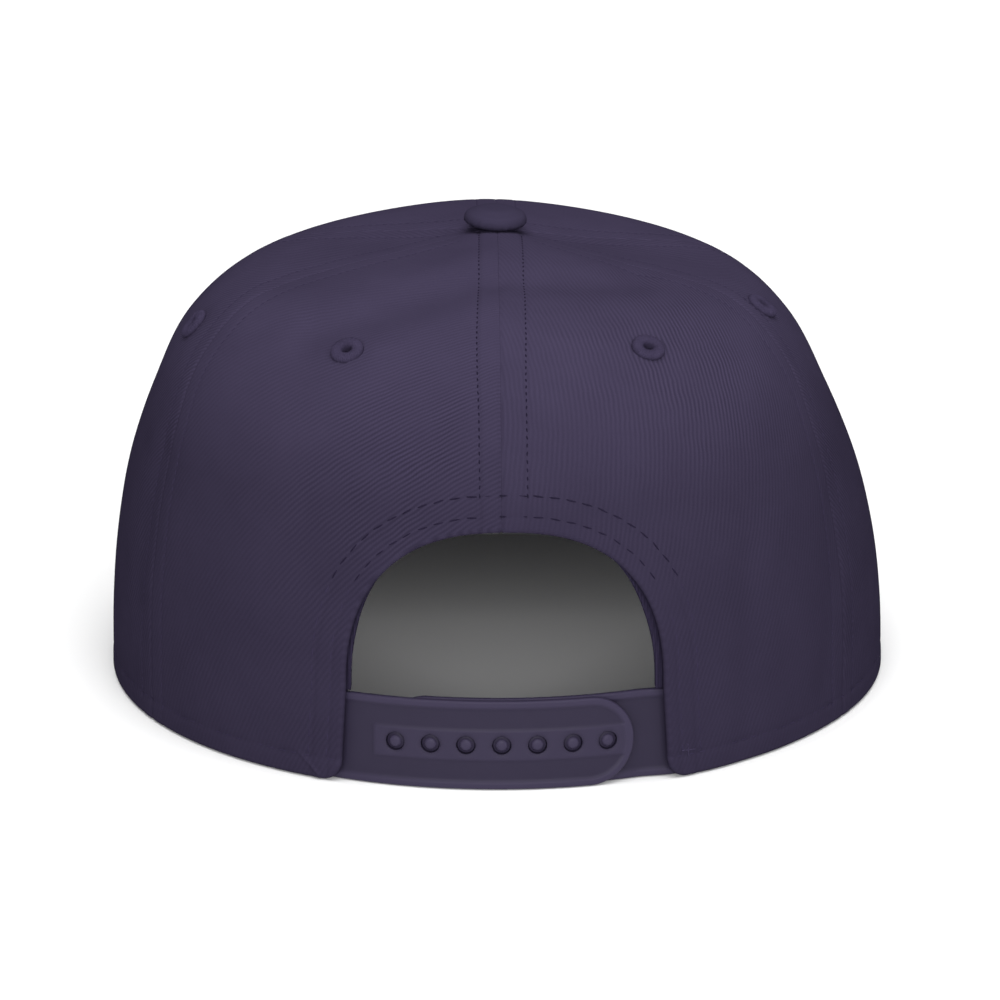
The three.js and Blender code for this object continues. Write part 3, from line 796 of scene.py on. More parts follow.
def arch_grid(hand):
    """Angles and rows of a back panel. Columns run from the rim round the arch to the centre seam,
    and rows from the arch to the side seam."""
    side, seam = (1, 1) if hand == "left" else (-1, 5)
    middle = side * math.radians(30)
    rise = rise_at(middle)

    def flat(angle, row):
        return np.stack([side * wrapped(angle) * radius_at(row), np.interp(row, ROWS, rise)], axis=-1)

    x, z = arch_side(side, ROLL, ROLL)
    keep = side * x > SEAM_INSET
    z_end = np.interp(SEAM_INSET, (side * x)[::-1], z[::-1])
    arch = flat(*find_on_wall(np.append(x[keep], side * SEAM_INSET), np.append(z[keep], z_end)))
    arch[0, 1] = ROLL
    rows = np.interp(np.linspace(ROLL, np.interp(RIM_TOP, ROWS, rise), 400), rise, ROWS)
    outer = flat(seam_angle(seam, rows) - side * SEAM_INSET / radius_at(rows), rows)
    outer = np.concatenate([outer, [[arch[-1, 0], outer[-1, 1]]]])
    near, far = resample(arch, ROUND_ARCH), resample(outer, ROUND_ARCH)
    near[-1, 0] = far[-1, 0] = arch[-1, 0]
    grid = near[:, None] + (far - near)[:, None] * ACROSS[None, :, None]
    to_arch = grid[..., 0] - np.interp(grid[..., 1], arch[:LEG_POINTS, 1], arch[:LEG_POINTS, 0])
    to_rim = grid[..., 1] - ROLL
    corner = (to_arch < CORNER) & (to_rim < CORNER)
    a, b = (np.where(corner, 1 - gap / CORNER, 0).clip(0, 1) for gap in (to_arch, to_rim))
    grid[..., 0] += np.where(corner, CORNER * (a - a * np.sqrt(1 - b * b / 2)), 0)
    grid[..., 1] += np.where(corner, CORNER * (b - b * np.sqrt(1 - a * a / 2)), 0)
    row = np.interp(grid[..., 1], rise, ROWS)
    return side * grid[..., 0] / radius_at(row), row, middle


def eyelet_seat(part, hand):
    degrees, row = EYELETS[f"{part}_{hand}"]
    angle, row = np.array(math.radians(degrees)), np.array(row)
    return wall_point(angle, row), crown_normal(angle, row)


def rim_line(first, last):
    angle = np.linspace(first, last, 160)
    return wall_point(angle, np.zeros(angle.shape))


def circle_round(normal, sides):
    """The directions of points round a normal."""
    across = unit(np.cross([0.0, 0.0, 1.0], normal))
    turn = np.linspace(0, 2 * math.pi, sides, endpoint=False)
    return np.cos(turn)[:, None] * across + np.sin(turn)[:, None] * np.cross(normal, across)


def pierce(thing, seat, normal, radius, length, sides=28):
    """Sets a round hole to be cut through a piece."""
    circle = seat + radius * circle_round(normal, sides)
    ends = np.concatenate([circle - normal * length / 2, circle + normal * length / 2])
    walls = [[k, (k + 1) % sides, sides + (k + 1) % sides, sides + k] for k in range(sides)]
    caps = [list(range(sides))[::-1], list(range(sides, 2 * sides))]
    cutter = link("cutter", mesh_of("cutter", ends, faces=walls + caps))
    modifier = thing.modifiers.new("hole", "BOOLEAN")
    modifier.operation = "DIFFERENCE"
    modifier.solver = "EXACT"
    modifier.object = cutter
    return cutter


def settle(thing, cutters):
    """Makes the cuts part of the mesh."""
    mesh, old = new_mesh_from(thing, preserve_all_data_layers=True), thing.data
    thing.modifiers.clear()
    thing.data = mesh
    mesh.name = thing.name
    bpy.data.meshes.remove(old)
    for cutter in cutters:
        data = cutter.data
        bpy.data.objects.remove(cutter)
        bpy.data.meshes.remove(data)


# part, hand, first seam, second seam, centre of the ribs' arcs, where they show most and how far they do
PANELS = (
    ("back", "left", 0, 1, (128, -59), (20, 74), (22, 28)),
    ("side", "left", 1, 2, (132, -10), (0, 60), (50, 60)),
    ("front", "left", 2, 3, (-132, -10), (0, 60), (50, 60)),
    ("front", "right", 3, 4, (132, -10), (0, 60), (50, 60)),
    ("side", "right", 4, 5, (-132, -10), (0, 60), (50, 60)),
    ("back", "right", 5, 0, (-386, 177), (19, 98), (29, 30)),
)
RIBS_LEAST = 0.28
# the turned cloth right of the middle seam shows fewer ribs: its edge from the seam, and how few
SMOOTH_BAND = (5.0, 7.0)
SMOOTHED = 0.8


def make_panel(part, hand, first, second, centre, clearest, spread):
    arch = None
    if part == "back":
        angle, row, middle = arch_grid(hand)
        arch = wall_point(*find_on_wall(*arch_side(1, 0.0, 0.0)))
        rim = rim_line(middle - 0.6, middle + 0.6)
    else:
        angle, row, middle = plain_grid(first, second)
        rim = rim_line(angle[:, 0].min() - 0.1, angle[:, 0].max() + 0.1)
    seat, seat_normal = eyelet_seat(part, hand)
    points, normals = on_wall(angle, row)
    depth = sewn_depth(points, angle, row, (first, second), rim, arch, seat)
    points = points - normals * depth[..., None]
    columns, rows = angle.shape[0] - 1, angle.shape[1] - 1
    walk_i, walk_j = rim_walk(columns, rows)
    if part == "back":
        sewn = np.maximum((walk_j == rows) * np.clip(walk_i / EDGE_BLEND, 0, 1),
                          (walk_i == columns) * np.clip(walk_j / EDGE_BLEND, 0, 1))
    else:
        on_seam = (walk_i == 0) | (walk_i == columns)
        sewn = np.maximum(on_seam * np.clip(walk_j / EDGE_BLEND, 0, 1), (walk_j == rows) * 1.0)
    rolled, cut = rolled_edge(ROLL, CLOTH), cut_edge(SEAM_EDGE, CLOTH)
    cut[0] *= (SEAM_INSET + SEAM_OVERLAP) / SEAM_EDGE
    x, y = laid_flat(angle, row, middle)
    shown = bell(x, clearest[0], spread[0]) * bell(y, clearest[1], spread[1])
    if (part, hand) == ("back", "right"):
        shown = shown * (1 - SMOOTHED * (1 - smoothstep(np.abs(angle) * radius_at(row), *SMOOTH_BAND)))
    name = f"panel_{part}_{hand}"
    sheet = points, normals, CLOTH, rolled + (cut - rolled) * sewn
    panel = make_sheet(f"cloth_{name}", sheet, twill, name, cloth_uv(x, y, centre, clearest),
                       RIBS_LEAST + (1 - RIBS_LEAST) * shown)
    settle(panel, [pierce(panel, seat, seat_normal, EYELET_HOLE + EYELET_SLEEVE + VENT_SLACK, 8 * CLOTH)])


for plan in PANELS:
    make_panel(*plan)


# Turned pieces

def turned(seat, normal, radii, heights, ends=None):
    """A piece turned round a normal. Radii and heights are tables, one row for each place round it.
    Its profile is a loop, unless ends gives the heights of the points that close its top and its foot."""
    sides, steps = radii.shape
    ray = circle_round(normal, sides)
    points = (seat + radii[..., None] * ray[:, None] + heights[..., None] * normal).reshape(-1, 3)
    index = np.arange(sides * steps).reshape(sides, steps)
    following = np.roll(index, -1, axis=0)
    corners = index, following, np.roll(following, -1, axis=1), np.roll(index, -1, axis=1)
    walls = np.stack(corners, axis=-1)
    if ends is None:
        return points, walls.reshape(-1, 4).tolist()
    faces = walls[:, :-1].reshape(-1, 4).tolist()
    faces += [[int(a), int(b), len(points)] for a, b in zip(index[:, -1], following[:, -1])]
    faces += [[int(b), int(a), len(points) + 1] for a, b in zip(index[:, 0], following[:, 0])]
    return np.concatenate([points, seat + np.outer(ends, normal)]), faces


# radius, height
EYELET_PROFILE = np.array([
    (1.62, -1.70), (1.10, -1.70), (1.08, -0.80), (1.10, 0.10), (1.20, 0.50), (1.42, 0.82), (1.80, 1.04),
    (2.30, 1.14), (2.80, 1.08), (3.25, 0.90), (3.58, 0.60), (3.74, 0.22), (3.78, -0.15), (3.60, -0.40),
    (2.60, -0.45), (1.70, -0.45),
])
EYELET_THREADS = 46
# the threads' rise, their sideways swell and their unevenness, and the radius where they turn over
THREAD_RISE, THREAD_SWELL, THREAD_UNEVEN, THREAD_TURN = 0.14, 0.10, 0.03, 2.3
# the power that rounds a thread, the depth between threads, and the heights over which threads appear
THREAD_ROUND, THREAD_DIP, THREAD_FROM, THREAD_OVER = 0.7, 0.08, -0.2, 0.6


def make_eyelet(part, hand):
    sides = EYELET_THREADS * 4
    turn = np.linspace(0, 2 * math.pi, sides, endpoint=False)
    lift = np.random.default_rng(11).normal(0, THREAD_UNEVEN, EYELET_THREADS)
    radii, heights = (np.tile(EYELET_PROFILE[:, k], (sides, 1)) for k in (0, 1))
    ridge = np.abs(np.cos(turn * EYELET_THREADS / 2)) ** THREAD_ROUND
    own = lift[np.arange(sides) * EYELET_THREADS // sides]
    profile_r, profile_h = EYELET_PROFILE.T
    shown = np.clip((profile_h - THREAD_FROM) / THREAD_OVER, 0, 1)
    outside = profile_r > THREAD_TURN
    heights += (THREAD_RISE * ridge + own)[:, None] * shown - THREAD_DIP * shown
    radii += (THREAD_SWELL * ridge + own)[:, None] * outside * shown
    points, faces = turned(*eyelet_seat(part, hand), radii, heights)
    make_piece(f"stitched_eyelet_{part}_{hand}", points, faces, embroidery_thread,
               f"eyelet_{part}_{hand}")


for part in ("back", "side", "front"):
    for hand in ("left", "right"):
        make_eyelet(part, hand)


BUTTON_SHIFT = 0.5
BUTTON_SIDES = 120
# depth, place and width of the ring where the cloth dips, as shares of the radius for its place
BUTTON_DIP = (0.22, 0.74, 0.9)
# height of the widest ring as a share, and where the underside starts, as a share of a quarter turn
BUTTON_EDGE = 0.30
BUTTON_UNDER = -0.55
# how full the dome is, and the tuck of the cloth below it inwards and downwards
BUTTON_FULL, BUTTON_TUCK, BUTTON_DROP = 0.55, 0.6, 1.25
# waves in a turn of the gathers, then their depth, middle and width, and the height of the dome's wobble
BUTTON_GATHERS = (17, 23, 31)
GATHER_DEPTH, GATHER_PLACE, GATHER_WIDTH = 0.020, -0.5, 0.55
BUTTON_WOBBLE = 0.10
BUTTON_SLANT = (0.9, 0.44)
VISOR_SLANT = (0.88, 0.47)


def button_seat():
    turn = np.radians(np.arange(0, 360, 30))
    ring, near = (wall_point(turn, np.full(12, row_at_radius(radius)))
                  for radius in (BUTTON_RADIUS, BUTTON_RADIUS / 2))
    normal = unit(np.cross(ring[3] - ring[9], ring[0] - ring[6]))
    apex = np.array([0.0, -APEX_FORWARD, CROWN_HEIGHT])
    rise = ((np.concatenate([ring, near]) - apex) @ normal).max()
    return apex + normal * (max(rise, 0) + CLEARANCE) + np.array([BUTTON_SHIFT, 0.0, 0.0]), normal


def slanted(x, y, slant):
    """Coordinates turned by the cosine and sine of a slant."""
    return np.stack([slant[0] * x + slant[1] * y, slant[0] * y - slant[1] * x], axis=-1)


def make_button():
    seat, normal = button_seat()
    turn = np.linspace(0, 2 * math.pi, BUTTON_SIDES, endpoint=False)
    rise = np.linspace(BUTTON_UNDER, 1, 34) * math.pi / 2
    edge, under = BUTTON_EDGE * BUTTON_HEIGHT, rise < 0
    dip, place, width = BUTTON_DIP
    radius = BUTTON_RADIUS * np.where(under, np.cos(rise * BUTTON_TUCK), np.cos(rise) ** BUTTON_FULL)
    dome = edge + (BUTTON_HEIGHT - edge) * np.sin(np.abs(rise))
    dome = dome - dip * bell(radius, place * BUTTON_RADIUS, width)
    height = np.where(under, edge + edge * BUTTON_DROP * np.sin(rise), dome)
    phases = np.random.default_rng(5).uniform(0, 6, 3)
    gather = sum(np.cos(turn * n + p) for n, p in zip(BUTTON_GATHERS, phases)) / 3
    radii = radius * (1 + GATHER_DEPTH * gather[:, None] * bell(rise, GATHER_PLACE, GATHER_WIDTH))
    heights = height + BUTTON_WOBBLE * np.cos(2 * turn + 1)[:, None] * np.cos(rise)
    radii = np.concatenate([np.full((BUTTON_SIDES, 2), SHANK_RADIUS), radii[:, :-1]], axis=1)
    heights = np.concatenate([np.tile([-2 * CLOTH, 0.1], (BUTTON_SIDES, 1)), heights[:, :-1]], axis=1)
    points, faces = turned(seat, normal, radii, heights, ends=(BUTTON_HEIGHT, -2 * CLOTH))
    across = unit(np.cross([0.0, 0.0, 1.0], normal))
    flat = points - seat
    uv = slanted(flat @ across, flat @ np.cross(normal, across), BUTTON_SLANT)
    make_piece("covered_button", points, faces, button_cloth, "button", uv)


make_button()


# The visor

VISOR_ROWS = tuple(4.0 + 6.5 * k for k in range(8))
VISOR_GROOVE = (0.22, 0.9)
VISOR_FADE = (6, 14)
VISOR_ROLL = 0.42


def visor_plan(u, v):
    angle = math.pi - VISOR_HALF_ANGLE * u
    edge = wall_point(angle, np.zeros(np.shape(angle)), -CLEARANCE)
    turn = VISOR_TURN * u
    shoulder = -VISOR_SHOULDER * (FRONT_REACH + VISOR_LENGTH)
    run = np.where(np.cos(turn) > 0, FRONT_REACH + VISOR_LENGTH + shoulder,
                   VISOR_REAR * (FRONT_REACH + shoulder))
    x = VISOR_HALF_WIDTH * np.sign(u) * np.abs(np.sin(turn)) ** (2 / VISOR_POWER)
    y = shoulder - run * np.sign(np.cos(turn)) * np.abs(np.cos(turn)) ** (2 / VISOR_POWER)
    taper = np.maximum(np.sqrt(np.clip(1 - np.abs(u) ** VISOR_TIP_TAPER, 0, 1)), VISOR_TIP_WIDTH)
    return edge[..., 0] + (x - edge[..., 0]) * v * taper, edge[..., 1] + (y - edge[..., 1]) * v * taper


def visor_point(u, v, lift):
    x, y = visor_plan(u, v)
    return np.stack([x, y, VISOR_CAMBER * (1 - (x / HALF_WIDTH) ** 2) + lift], axis=-1)


def visor_width(u):
    return np.linalg.norm(visor_point(u, 1.0, 0) - visor_point(u, 0.0, 0), axis=-1)


def visor_normals(x):
    slope = 2 * VISOR_CAMBER * x / HALF_WIDTH ** 2
    return unit(np.stack([slope, np.zeros(slope.shape), np.ones(slope.shape)], axis=-1))


def make_visor():
    u, v = np.linspace(1, -1, 241), np.linspace(0, 1, 121)
    width = visor_width(u)
    edge = np.minimum(VISOR_THICKNESS / 2, VISOR_ROLL * width)
    span = (edge + (width - 2 * edge) * v[:, None]).T / width[:, None]
    points = visor_point(u[:, None], span, VISOR_THICKNESS)
    from_outside = (1 - span) * width[:, None]
    groove, groove_width = VISOR_GROOVE
    depth = sum(groove * bell(from_outside, line, groove_width) for line in VISOR_ROWS)
    depth = depth * smoothstep(width[:, None], *VISOR_FADE)
    normals = visor_normals(points[..., 0])
    points = points - normals * depth[..., None]
    out, down = rolled_edge(1.0, VISOR_THICKNESS)
    out = out * edge[rim_walk(len(u) - 1, len(v) - 1)[0]]
    make_sheet("cloth_visor", (points, normals, VISOR_THICKNESS - 2 * depth, (out, down)), twill, "visor",
               slanted(points[..., 0], points[..., 1], VISOR_SLANT))


make_visor()


# Bands inside the wall

STRAP_END = ARCH_HALF_WIDTH + ARCH_FLARE + STRAP_TUCK
FIRST_DEPTH = CLOTH + CLEARANCE
BAND_ROWS = (4.0, SWEATBAND_HEIGHT - 4.0)
BAND_GROOVE = (0.18, 0.9)


def make_sweatband():
    start, half = (STRAP_END + SWEATBAND_SHORT) / HALF_WIDTH, SWEATBAND_THICKNESS / 2
    angle = np.linspace(start + half / HALF_WIDTH, 2 * math.pi - start - half / HALF_WIDTH, 361)
    row = row_at_height(np.linspace(SWEATBAND_LIFT + half, SWEATBAND_LIFT + SWEATBAND_HEIGHT - half, 27))
    angle, row = np.meshgrid(angle, row, indexing="ij")
    height = np.interp(row, ROWS, HEIGHTS) - SWEATBAND_LIFT
    sewn = sum(BAND_GROOVE[0] * bell(height, line, BAND_GROOVE[1]) for line in BAND_ROWS)
    points, outward = on_wall(angle, row, FIRST_DEPTH + SWEATBAND_THICKNESS - sewn)
    sheet = points, -outward, SWEATBAND_THICKNESS - sewn, rolled_edge(half, SWEATBAND_THICKNESS)
    make_sheet("cloth_sweatband", sheet, tape, "sweatband")


make_sweatband()

# how far the binding stands out of the arch, as shares of BINDING_PROUD: everywhere, down the left leg
# and down the right leg, with the shares of the way round between which each leg's part fades
PROUD_ALL, PROUD_LEFT, PROUD_RIGHT = 0.1, 0.6, 1.0
LEFT_FADE, RIGHT_FADE = (0.10, 0.30), (0.66, 0.86)


def make_binding():
    half = BINDING_THICKNESS / 2
    margins = np.linspace(-BINDING_PROUD - 0.3, BINDING_WIDTH - half, 25)
    foot = STRAP_HEIGHT + CLEARANCE + half
    way = np.linspace(0, 1, 181)
    lines = []
    for margin in margins:
        angle, row = find_on_wall(*arch_side(1, margin, foot), FIRST_DEPTH)
        lines.append(resample(np.stack([angle, row * 2], axis=-1), way))
    proud = PROUD_LEFT * (1 - smoothstep(way, *LEFT_FADE)) + PROUD_RIGHT * smoothstep(way, *RIGHT_FADE)
    proud = BINDING_PROUD * (PROUD_ALL + proud)[:, None]
    wanted = half - proud + (BINDING_WIDTH - 2 * half + proud) * np.linspace(0, 1, 17)
    grid = np.array([[np.interp(line, margins, column[:, k]) for k in range(2)]
                     for line, column in zip(wanted, np.stack(lines, axis=1))])
    angle, row = grid[:, 0], grid[:, 1] / 2
    sheet = *on_wall(angle, row, FIRST_DEPTH), BINDING_THICKNESS, rolled_edge(half, BINDING_THICKNESS)
    make_sheet("tape_arch_binding", sheet, tape, "arch_binding")


make_binding()


# The strap

MOULD = 0.45
STRAP_MIDDLE = STRAP_HEIGHT / 2
STRAP_ROW = row_at_height(np.array(STRAP_MIDDLE))
SNAPS = [(k - (SNAP_COUNT - 1) / 2) * SNAP_PITCH for k in range(SNAP_COUNT)]
# how far the raised band runs past the last snap's share of it, and the softness of its edge
BAND_PAST = 1.4
BAND_SOFT = (-0.3, 0.2)
# how far inside the rim's ridge the field begins to sink and where it is flat
RIM_SOFT = (-0.9, 0.15)
# depth and width of the dip round a snap, then the length and the sides of what cuts its hole
SNAP_LIP = (0.20, 0.5)
SNAP_CUT, SNAP_SIDES = 8, 40


def strap_places(side, tail, nose, inset):
    """Places along and up one half of the strap, from its sewn end to its round nose."""
    radius, centre = STRAP_MIDDLE - inset, nose - side * STRAP_MIDDLE
    turn = np.linspace(0, 1, 27)[1:] * math.radians(86)
    straight = np.linspace(tail + side * inset, centre, 130)
    along = np.concatenate([straight, centre + side * radius * np.sin(turn)])
    half = np.concatenate([np.full(len(straight), radius), radius * np.cos(turn)])
    even = np.linspace(-1, 1, 61)
    share = 0.5 * np.sin(even * math.pi / 2) + 0.5 * even
    return np.broadcast_to(along[:, None], (len(along), len(even))), STRAP_MIDDLE + half[:, None] * share


def rim_relief(along, height, side, nose):
    """The recess of the field inside the raised rim."""
    past = np.maximum((along - (nose - side * STRAP_MIDDLE)) * side, 0)
    inwards = STRAP_MIDDLE - np.hypot(past, height - STRAP_MIDDLE)
    return FIELD_RECESS * smoothstep(inwards, RIM_RIDGE + RIM_SOFT[0], RIM_RIDGE + RIM_SOFT[1])


def outer_relief(along, height):
    def within(place, end):
        return 1 - smoothstep(place, end + BAND_SOFT[0], end + BAND_SOFT[1])

    from_middle = height - STRAP_MIDDLE
    band = within(np.abs(from_middle), SNAP_BAND / 2) * within(along, SNAPS[-1] + SNAP_BAND / 2 + BAND_PAST)
    field = rim_relief(along, height, -1, -STRAP_END_REACH)
    near = np.min([np.hypot(along - place, from_middle) for place in SNAPS], axis=0)
    lip = SNAP_LIP[0] * bell(near, SNAP_RADIUS, SNAP_LIP[1])
    return np.maximum(field - BAND_RISE * band * smoothstep(field, 0.0, 0.2), 0) + lip


def inner_relief(along, height):
    return rim_relief(along, height, 1, PEG_END_REACH)


def joggle(along):
    """The depth of the peg half, which lies behind the other and comes forward at its sewn end."""
    behind = FIRST_DEPTH + STRAP_THICKNESS + CLEARANCE
    return behind + (FIRST_DEPTH - behind) * smoothstep(-along, STRAP_END_REACH + 1, STRAP_END - 2)


def snap_seat(place, depth):
    """A place on the strap's middle line and the direction out of it."""
    angle = np.array(place / HALF_WIDTH)
    return wall_point(angle, STRAP_ROW, depth), crown_normal(angle, STRAP_ROW)


def strap_shell(name, side, tail, nose, face, relief, holes, node):
    along, height = strap_places(side, tail, nose, MOULD)
    angle, row, recess = along / HALF_WIDTH, row_at_height(height), relief(along, height)
    sheet = *on_wall(angle, row, face(along) + recess), STRAP_THICKNESS - recess
    shell = make_sheet(name, (*sheet, moulded_edge(MOULD, STRAP_THICKNESS)), plastic, node,
                       # painted light on the raised rim and band, painted shade in the sunk field and round
                       # the snaps, from how deep each place is sunk
                       relief=1 - recess / FIELD_RECESS)
    if holes:
        settle(shell, [pierce(shell, *snap_seat(place, FIRST_DEPTH), SNAP_RADIUS, SNAP_CUT, SNAP_SIDES)
                       for place in holes])


strap_shell("strap_outer_half", -1, STRAP_END, -STRAP_END_REACH,
            lambda along: FIRST_DEPTH, outer_relief, SNAPS, "strap_outer")
strap_shell("strap_inner_half", 1, -STRAP_END, PEG_END_REACH, joggle, inner_relief, (), "strap_inner")

# radius, depth below the seat, tone: painted shade in the ring round each peg and a painted highlight on
# its dome
PEG_PROFILE = np.array([
    (2.02, 2.40, 0.0), (2.02, 0.85, 0.0), (1.75, 0.76, 0.0), (1.42, 0.70, 0.2), (1.32, 0.50, 0.7),
    (1.22, 0.32, 1.3), (1.04, 0.16, 1.7), (0.80, 0.06, 1.8), (0.50, 0.01, 1.8), (0.20, 0.0, 1.8),
])
PEG_SIDES = 28
PEG_DEPTH = 0.1


def make_pegs():
    points, faces, painted_shade_and_highlight, count = [], [], [], 0
    radii, depths = (np.tile(PEG_PROFILE[:, k], (PEG_SIDES, 1)) for k in (0, 1))
    for place in SNAPS:
        peg, walls = turned(*snap_seat(place, FIRST_DEPTH + PEG_DEPTH), radii, -depths,
                            ends=(0.0, -PEG_PROFILE[0, 1]))
        points.append(peg)
        # the tone paints shade in the ring and a highlight, paler than the plastic's light colour, on the
        # dome
        painted_shade_and_highlight += PEG_PROFILE[:, 2].tolist() * PEG_SIDES + [PEG_PROFILE[-1, 2], 0.0]
        faces += [[corner + count for corner in wall] for wall in walls]
        count += len(peg)
    make_piece("strap_pegs", np.concatenate(points), faces, plastic, None, relief=painted_shade_and_highlight)


make_pegs()


# Stitches

def stitch_maker():
    """Lays a stitch at each step along rows of points that carry their outward direction."""
    tree, given, made = node_group("rows of stitches", "GeometryNodeTree",
                                   "Rows Pitch Length Width Rise Wander Seed Thread", "Stitches")

    def first(kind, inputs, **settings):
        return add(tree, kind, inputs, **settings).outputs[0]

    curve = first("GeometryNodeMeshToCurve", {"Mesh": given["Rows"]})
    spaced = first("GeometryNodeResampleCurve", {"Curve": curve, "Length": given["Pitch"]}, mode="LENGTH")
    tangent = first("GeometryNodeInputTangent", {})
    outward = first("GeometryNodeInputNamedAttribute", {"Name": "outward"}, data_type="FLOAT_VECTOR")
    lie = first("FunctionNodeAlignRotationToVector", {"Vector": tangent}, axis="X")
    facing = first("FunctionNodeAlignRotationToVector", {"Rotation": lie, "Vector": outward},
                   axis="Z", pivot_axis="X")
    low = first("ShaderNodeMath", {0: given["Wander"], 1: -1.0}, operation="MULTIPLY")
    wander = add(tree, "FunctionNodeRandomValue", {
        "Min": low, "Max": given["Wander"], "Seed": given["Seed"]}, data_type="FLOAT").outputs[1]
    turn = first("FunctionNodeEulerToRotation", {0: first("ShaderNodeCombineXYZ", {2: wander})})
    turned_by = first("FunctionNodeRotateRotation", {"Rotation": facing, "Rotate By": turn},
                      rotation_space="LOCAL")
    bead = first("GeometryNodeMeshUVSphere", {"Segments": 8, "Rings": 5, "Radius": 0.5})
    size = first("ShaderNodeCombineXYZ", {0: given["Length"], 1: given["Width"], 2: given["Rise"]})
    placed = first("GeometryNodeInstanceOnPoints", {
        "Points": spaced, "Instance": bead, "Rotation": turned_by, "Scale": size})
    smooth = first("GeometryNodeSetShadeSmooth", {
        "Geometry": first("GeometryNodeRealizeInstances", {"Geometry": placed})})
    finished = first("GeometryNodeSetMaterial", {"Geometry": smooth, "Material": given["Thread"]})
    tree.links.new(finished, made["Stitches"])
    return tree


stitch_tree = stitch_maker()


def sew(name, rows, pitch, length, width, rise, seed, wander=0.05, thread=sewing_thread):
    """Makes rows of stitches. Each row is points and outward directions in millimetres."""
    edges, first = [], 0
    for line, _ in rows:
        edges += [(first + k, first + k + 1) for k in range(len(line) - 1)]
        first += len(line)
    mesh = mesh_of(f"{name}_rows", np.concatenate([line for line, _ in rows]), edges)
    outward = np.concatenate([out for _, out in rows]).astype(np.float32)
    mesh.attributes.new("outward", "FLOAT_VECTOR", "POINT").data.foreach_set("vector", outward.ravel())
    guide = link(f"{name}_rows", mesh)
    modifier = guide.modifiers.new("stitches", "NODES")
    modifier.node_group = stitch_tree
    given = {"Pitch": pitch, "Length": length, "Width": width, "Rise": rise}
    given = {title: size / 1000 for title, size in given.items()}
    given |= {"Wander": wander, "Seed": seed, "Thread": thread}
    for item in stitch_tree.interface.items_tree:
        if item.in_out == "INPUT" and item.name in given:
            modifier[item.identifier] = given[item.name]
    made = new_mesh_from(guide)
    made.name = name
    bpy.data.objects.remove(guide)
    bpy.data.meshes.remove(mesh)
    declare(link(name, made), None)


# how deep threads lie, how far rows keep from the ends of what they hold, and the bars of the tack
ARCH_SUNK, HEM_SUNK, BAND_SUNK, VISOR_SUNK = 0.06, 0.14, 0.1, 0.15
ARCH_START, HEM_START, BAND_START, VISOR_SPARE, VISOR_REACH = 3.0, 2.0, 1.5, 5, 0.985
MIDDLE_SEAM_STOP, SIDE_SEAM_START, SIDE_SEAM_STOP = 0.4, 2.5, 5
TACK_BARS = (((-42.6, -40.2), (6.0, 6.2)), ((-41.4, -41.2), (4.9, 7.3)))


def seam_rows(*seams):
    lines = []
    for seam in seams:
        start, stop = SIDE_SEAM_START, SIDE_SEAM_STOP
        if seam == 0:
            start, stop = ARCH_TOP + ARCH_ROWS[1], MIDDLE_SEAM_STOP
        rows = np.linspace(float(row_at_height(start)), row_at_radius(BUTTON_RADIUS + stop), 220)
        for side in (-1, 1):
            turn = np.arcsin(row_gap(seam, side, rows) / radius_at(rows))
            sunk = SEAM_SEWN[0] * SEAM_MARKS[seam]
            lines.append(on_wall(seam_angle(seam, rows) + side * turn, rows, sunk))
    return lines


def arch_rows(over):
    """The rows over the arch, or the fainter ones down its legs."""
    lines = []
    for margin in ARCH_ROWS:
        points, outward = on_wall(*find_on_wall(*arch_side(1, margin, ARCH_START)), ARCH_SUNK)
        high = points[:, 2] > ARCH_FADE
        top = int(np.argmax(points[:, 2]))
        for part in (slice(None),) if over else (slice(0, top), slice(top, None)):
            kept = high[part] == over
            lines.append((points[part][kept], outward[part][kept]))
    return lines


def hem_rows():
    foot = ARCH_HALF_WIDTH + ARCH_FLARE + HEM_START
    ends = find_on_wall(ARCH_OFFSET + np.array([foot, -foot]), np.full(2, HEM_ROW))[0]
    angle = np.linspace(ends[0], 2 * math.pi + ends[1], 700)
    return [on_wall(angle, np.full(angle.shape, float(row_at_height(HEM_ROW))), HEM_SUNK)]


def band_rows():
    start = (STRAP_END + SWEATBAND_SHORT + BAND_START) / HALF_WIDTH
    angle = np.linspace(start, 2 * math.pi - start, 700)
    lines = []
    for height in BAND_ROWS:
        row = np.full(angle.shape, float(row_at_height(SWEATBAND_LIFT + height)))
        points, outward = on_wall(angle, row, FIRST_DEPTH + SWEATBAND_THICKNESS - BAND_SUNK)
        lines.append((points, -outward))
    return lines


def visor_stitch_rows():
    u = np.linspace(VISOR_REACH, -VISOR_REACH, 500)
    width = visor_width(u)
    lines = []
    for line in VISOR_ROWS:
        keep = width > line + VISOR_SPARE
        for lift, facing in ((VISOR_THICKNESS - VISOR_SUNK, 1), (VISOR_SUNK, -1)):
            points = visor_point(u[keep], 1 - line / width[keep], lift)
            lines.append((points, visor_normals(points[:, 0]) * facing))
    return lines


def tack_rows():
    """The little cross that holds the corner at the right foot of the arch."""
    lines = []
    for x, z in TACK_BARS:
        lines.append(on_wall(*find_on_wall(np.linspace(*x, 4), np.linspace(*z, 4)), 0.0))
    return lines


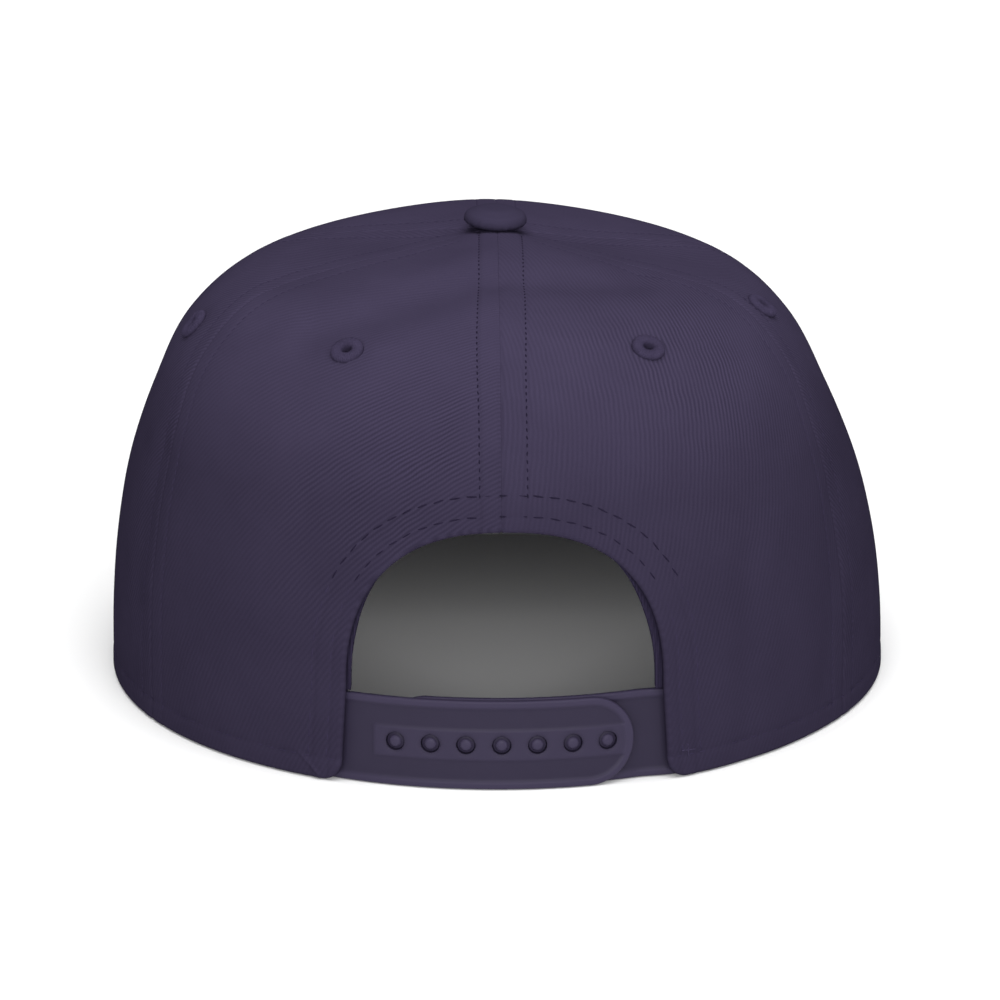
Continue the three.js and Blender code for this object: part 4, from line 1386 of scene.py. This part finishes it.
# name, rows, pitch, length, width, rise and seed, then what differs from a plain row of sewing thread
sew("seam_stitches", seam_rows(0), 1.9, 1.1, 0.40, 0.34, 3, wander=0.25)
sew("side_seam_stitches", seam_rows(1, 2, 3, 4, 5), 1.9, 1.3, 0.34, 0.20, 4, thread=cloth_thread)
sew("arch_stitches", arch_rows(True), 3.6, 2.6, 0.42, 0.34, 7, wander=0.12)
sew("arch_leg_stitches", arch_rows(False), 3.6, 2.4, 0.36, 0.22, 8, wander=0.12, thread=cloth_thread)
sew("hem_stitches", hem_rows(), 3.1, 2.2, 0.34, 0.16, 9, thread=cloth_thread)
sew("bar_tack", tack_rows(), 0.8, 1.0, 0.36, 0.34, 11, thread=embroidery_thread)
sew("sweatband_stitches", band_rows(), 3.1, 2.4, 0.50, 0.42, 13)
sew("visor_stitches", visor_stitch_rows(), 3.1, 2.5, 0.52, 0.44, 17, thread=cloth_thread)


# The floor, the light and the camera

FLOOR_HALF = 6.0
FLOOR_DROP = 0.0002
FLOOR_TONES = (0.86, 0.90)


def floor_finish():
    material = bpy.data.materials.new("pale floor")
    material.use_nodes = True
    tree = material.node_tree
    shader = tree.nodes["Principled BSDF"].inputs
    tone = noise(tree, add(tree, "ShaderNodeTexCoord").outputs["Object"], 3.0, 2.0)
    dark, light = ((grey, grey, grey, 1.0) for grey in FLOOR_TONES)
    tree.links.new(mix_colour(tree, tone, dark, light), shader["Base Color"])
    shader["Roughness"].default_value = 0.9
    shader["Specular IOR Level"].default_value = 0.1
    return material


def make_floor():
    mesh = bpy.data.meshes.new("floor")
    corners = [(x * FLOOR_HALF, y * FLOOR_HALF, 0) for x, y in ((-1, -1), (1, -1), (1, 1), (-1, 1))]
    mesh.from_pydata(corners, [], [(0, 1, 2, 3)])
    mesh.materials.append(floor_finish())
    floor = link("floor", mesh)
    floor.location.z = -FLOOR_DROP
    floor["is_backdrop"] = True


def direction(elevation, turn):
    """Toward the camera's side, so many degrees up and toward the picture's left."""
    up, left = math.radians(elevation), math.radians(turn)
    return Vector((math.sin(left) * math.cos(up), math.cos(left) * math.cos(up), math.sin(up)))


def light_from(name, kind, toward, energy, **settings):
    """A light that shines from a direction."""
    light = bpy.data.lights.new(name, kind)
    light.energy = energy
    for key, value in settings.items():
        setattr(light, key, value)
    thing = link(name, light)
    thing.rotation_euler = (-toward).to_track_quat("-Z", "Y").to_euler()
    return thing


make_floor()
light_from("high light", "SUN", direction(80, 0), 2.8, angle=math.radians(60))
light_from("side light", "SUN", direction(35, -70), 0.5, angle=math.radians(50))
box_place = Vector((0.0, 2.40, 0.76))
soft_box = light_from("low light", "AREA", box_place, 63, shape="RECTANGLE", size=3.0, size_y=0.75)
soft_box.location = Vector((CENTRE[0] / 1000, CENTRE[1] / 1000, 0.05)) + box_place

world = bpy.data.worlds.new("studio")
bpy.context.scene.world = world
world.use_nodes = True
sky = world.node_tree.nodes["Background"].inputs
sky["Color"].default_value = (1.0, 1.0, 1.0, 1.0)
sky["Strength"].default_value = 0.21
bpy.context.scene.view_settings.view_transform = "Standard"

camera_data = bpy.data.cameras.new("camera")
camera_data.lens = 151.2
camera_data.sensor_width = 36.0
camera_data.clip_start = 0.05
camera = link("camera", camera_data)
aim = Vector(((CENTRE[0] - 0.6) / 1000, CENTRE[1] / 1000, 0.0378))
camera.location = aim + direction(17.0, 0.6)
camera.rotation_euler = (aim - camera.location).to_track_quat("-Z", "Y").to_euler()
bpy.context.scene.camera = camera

bpy.context.view_layer.update()
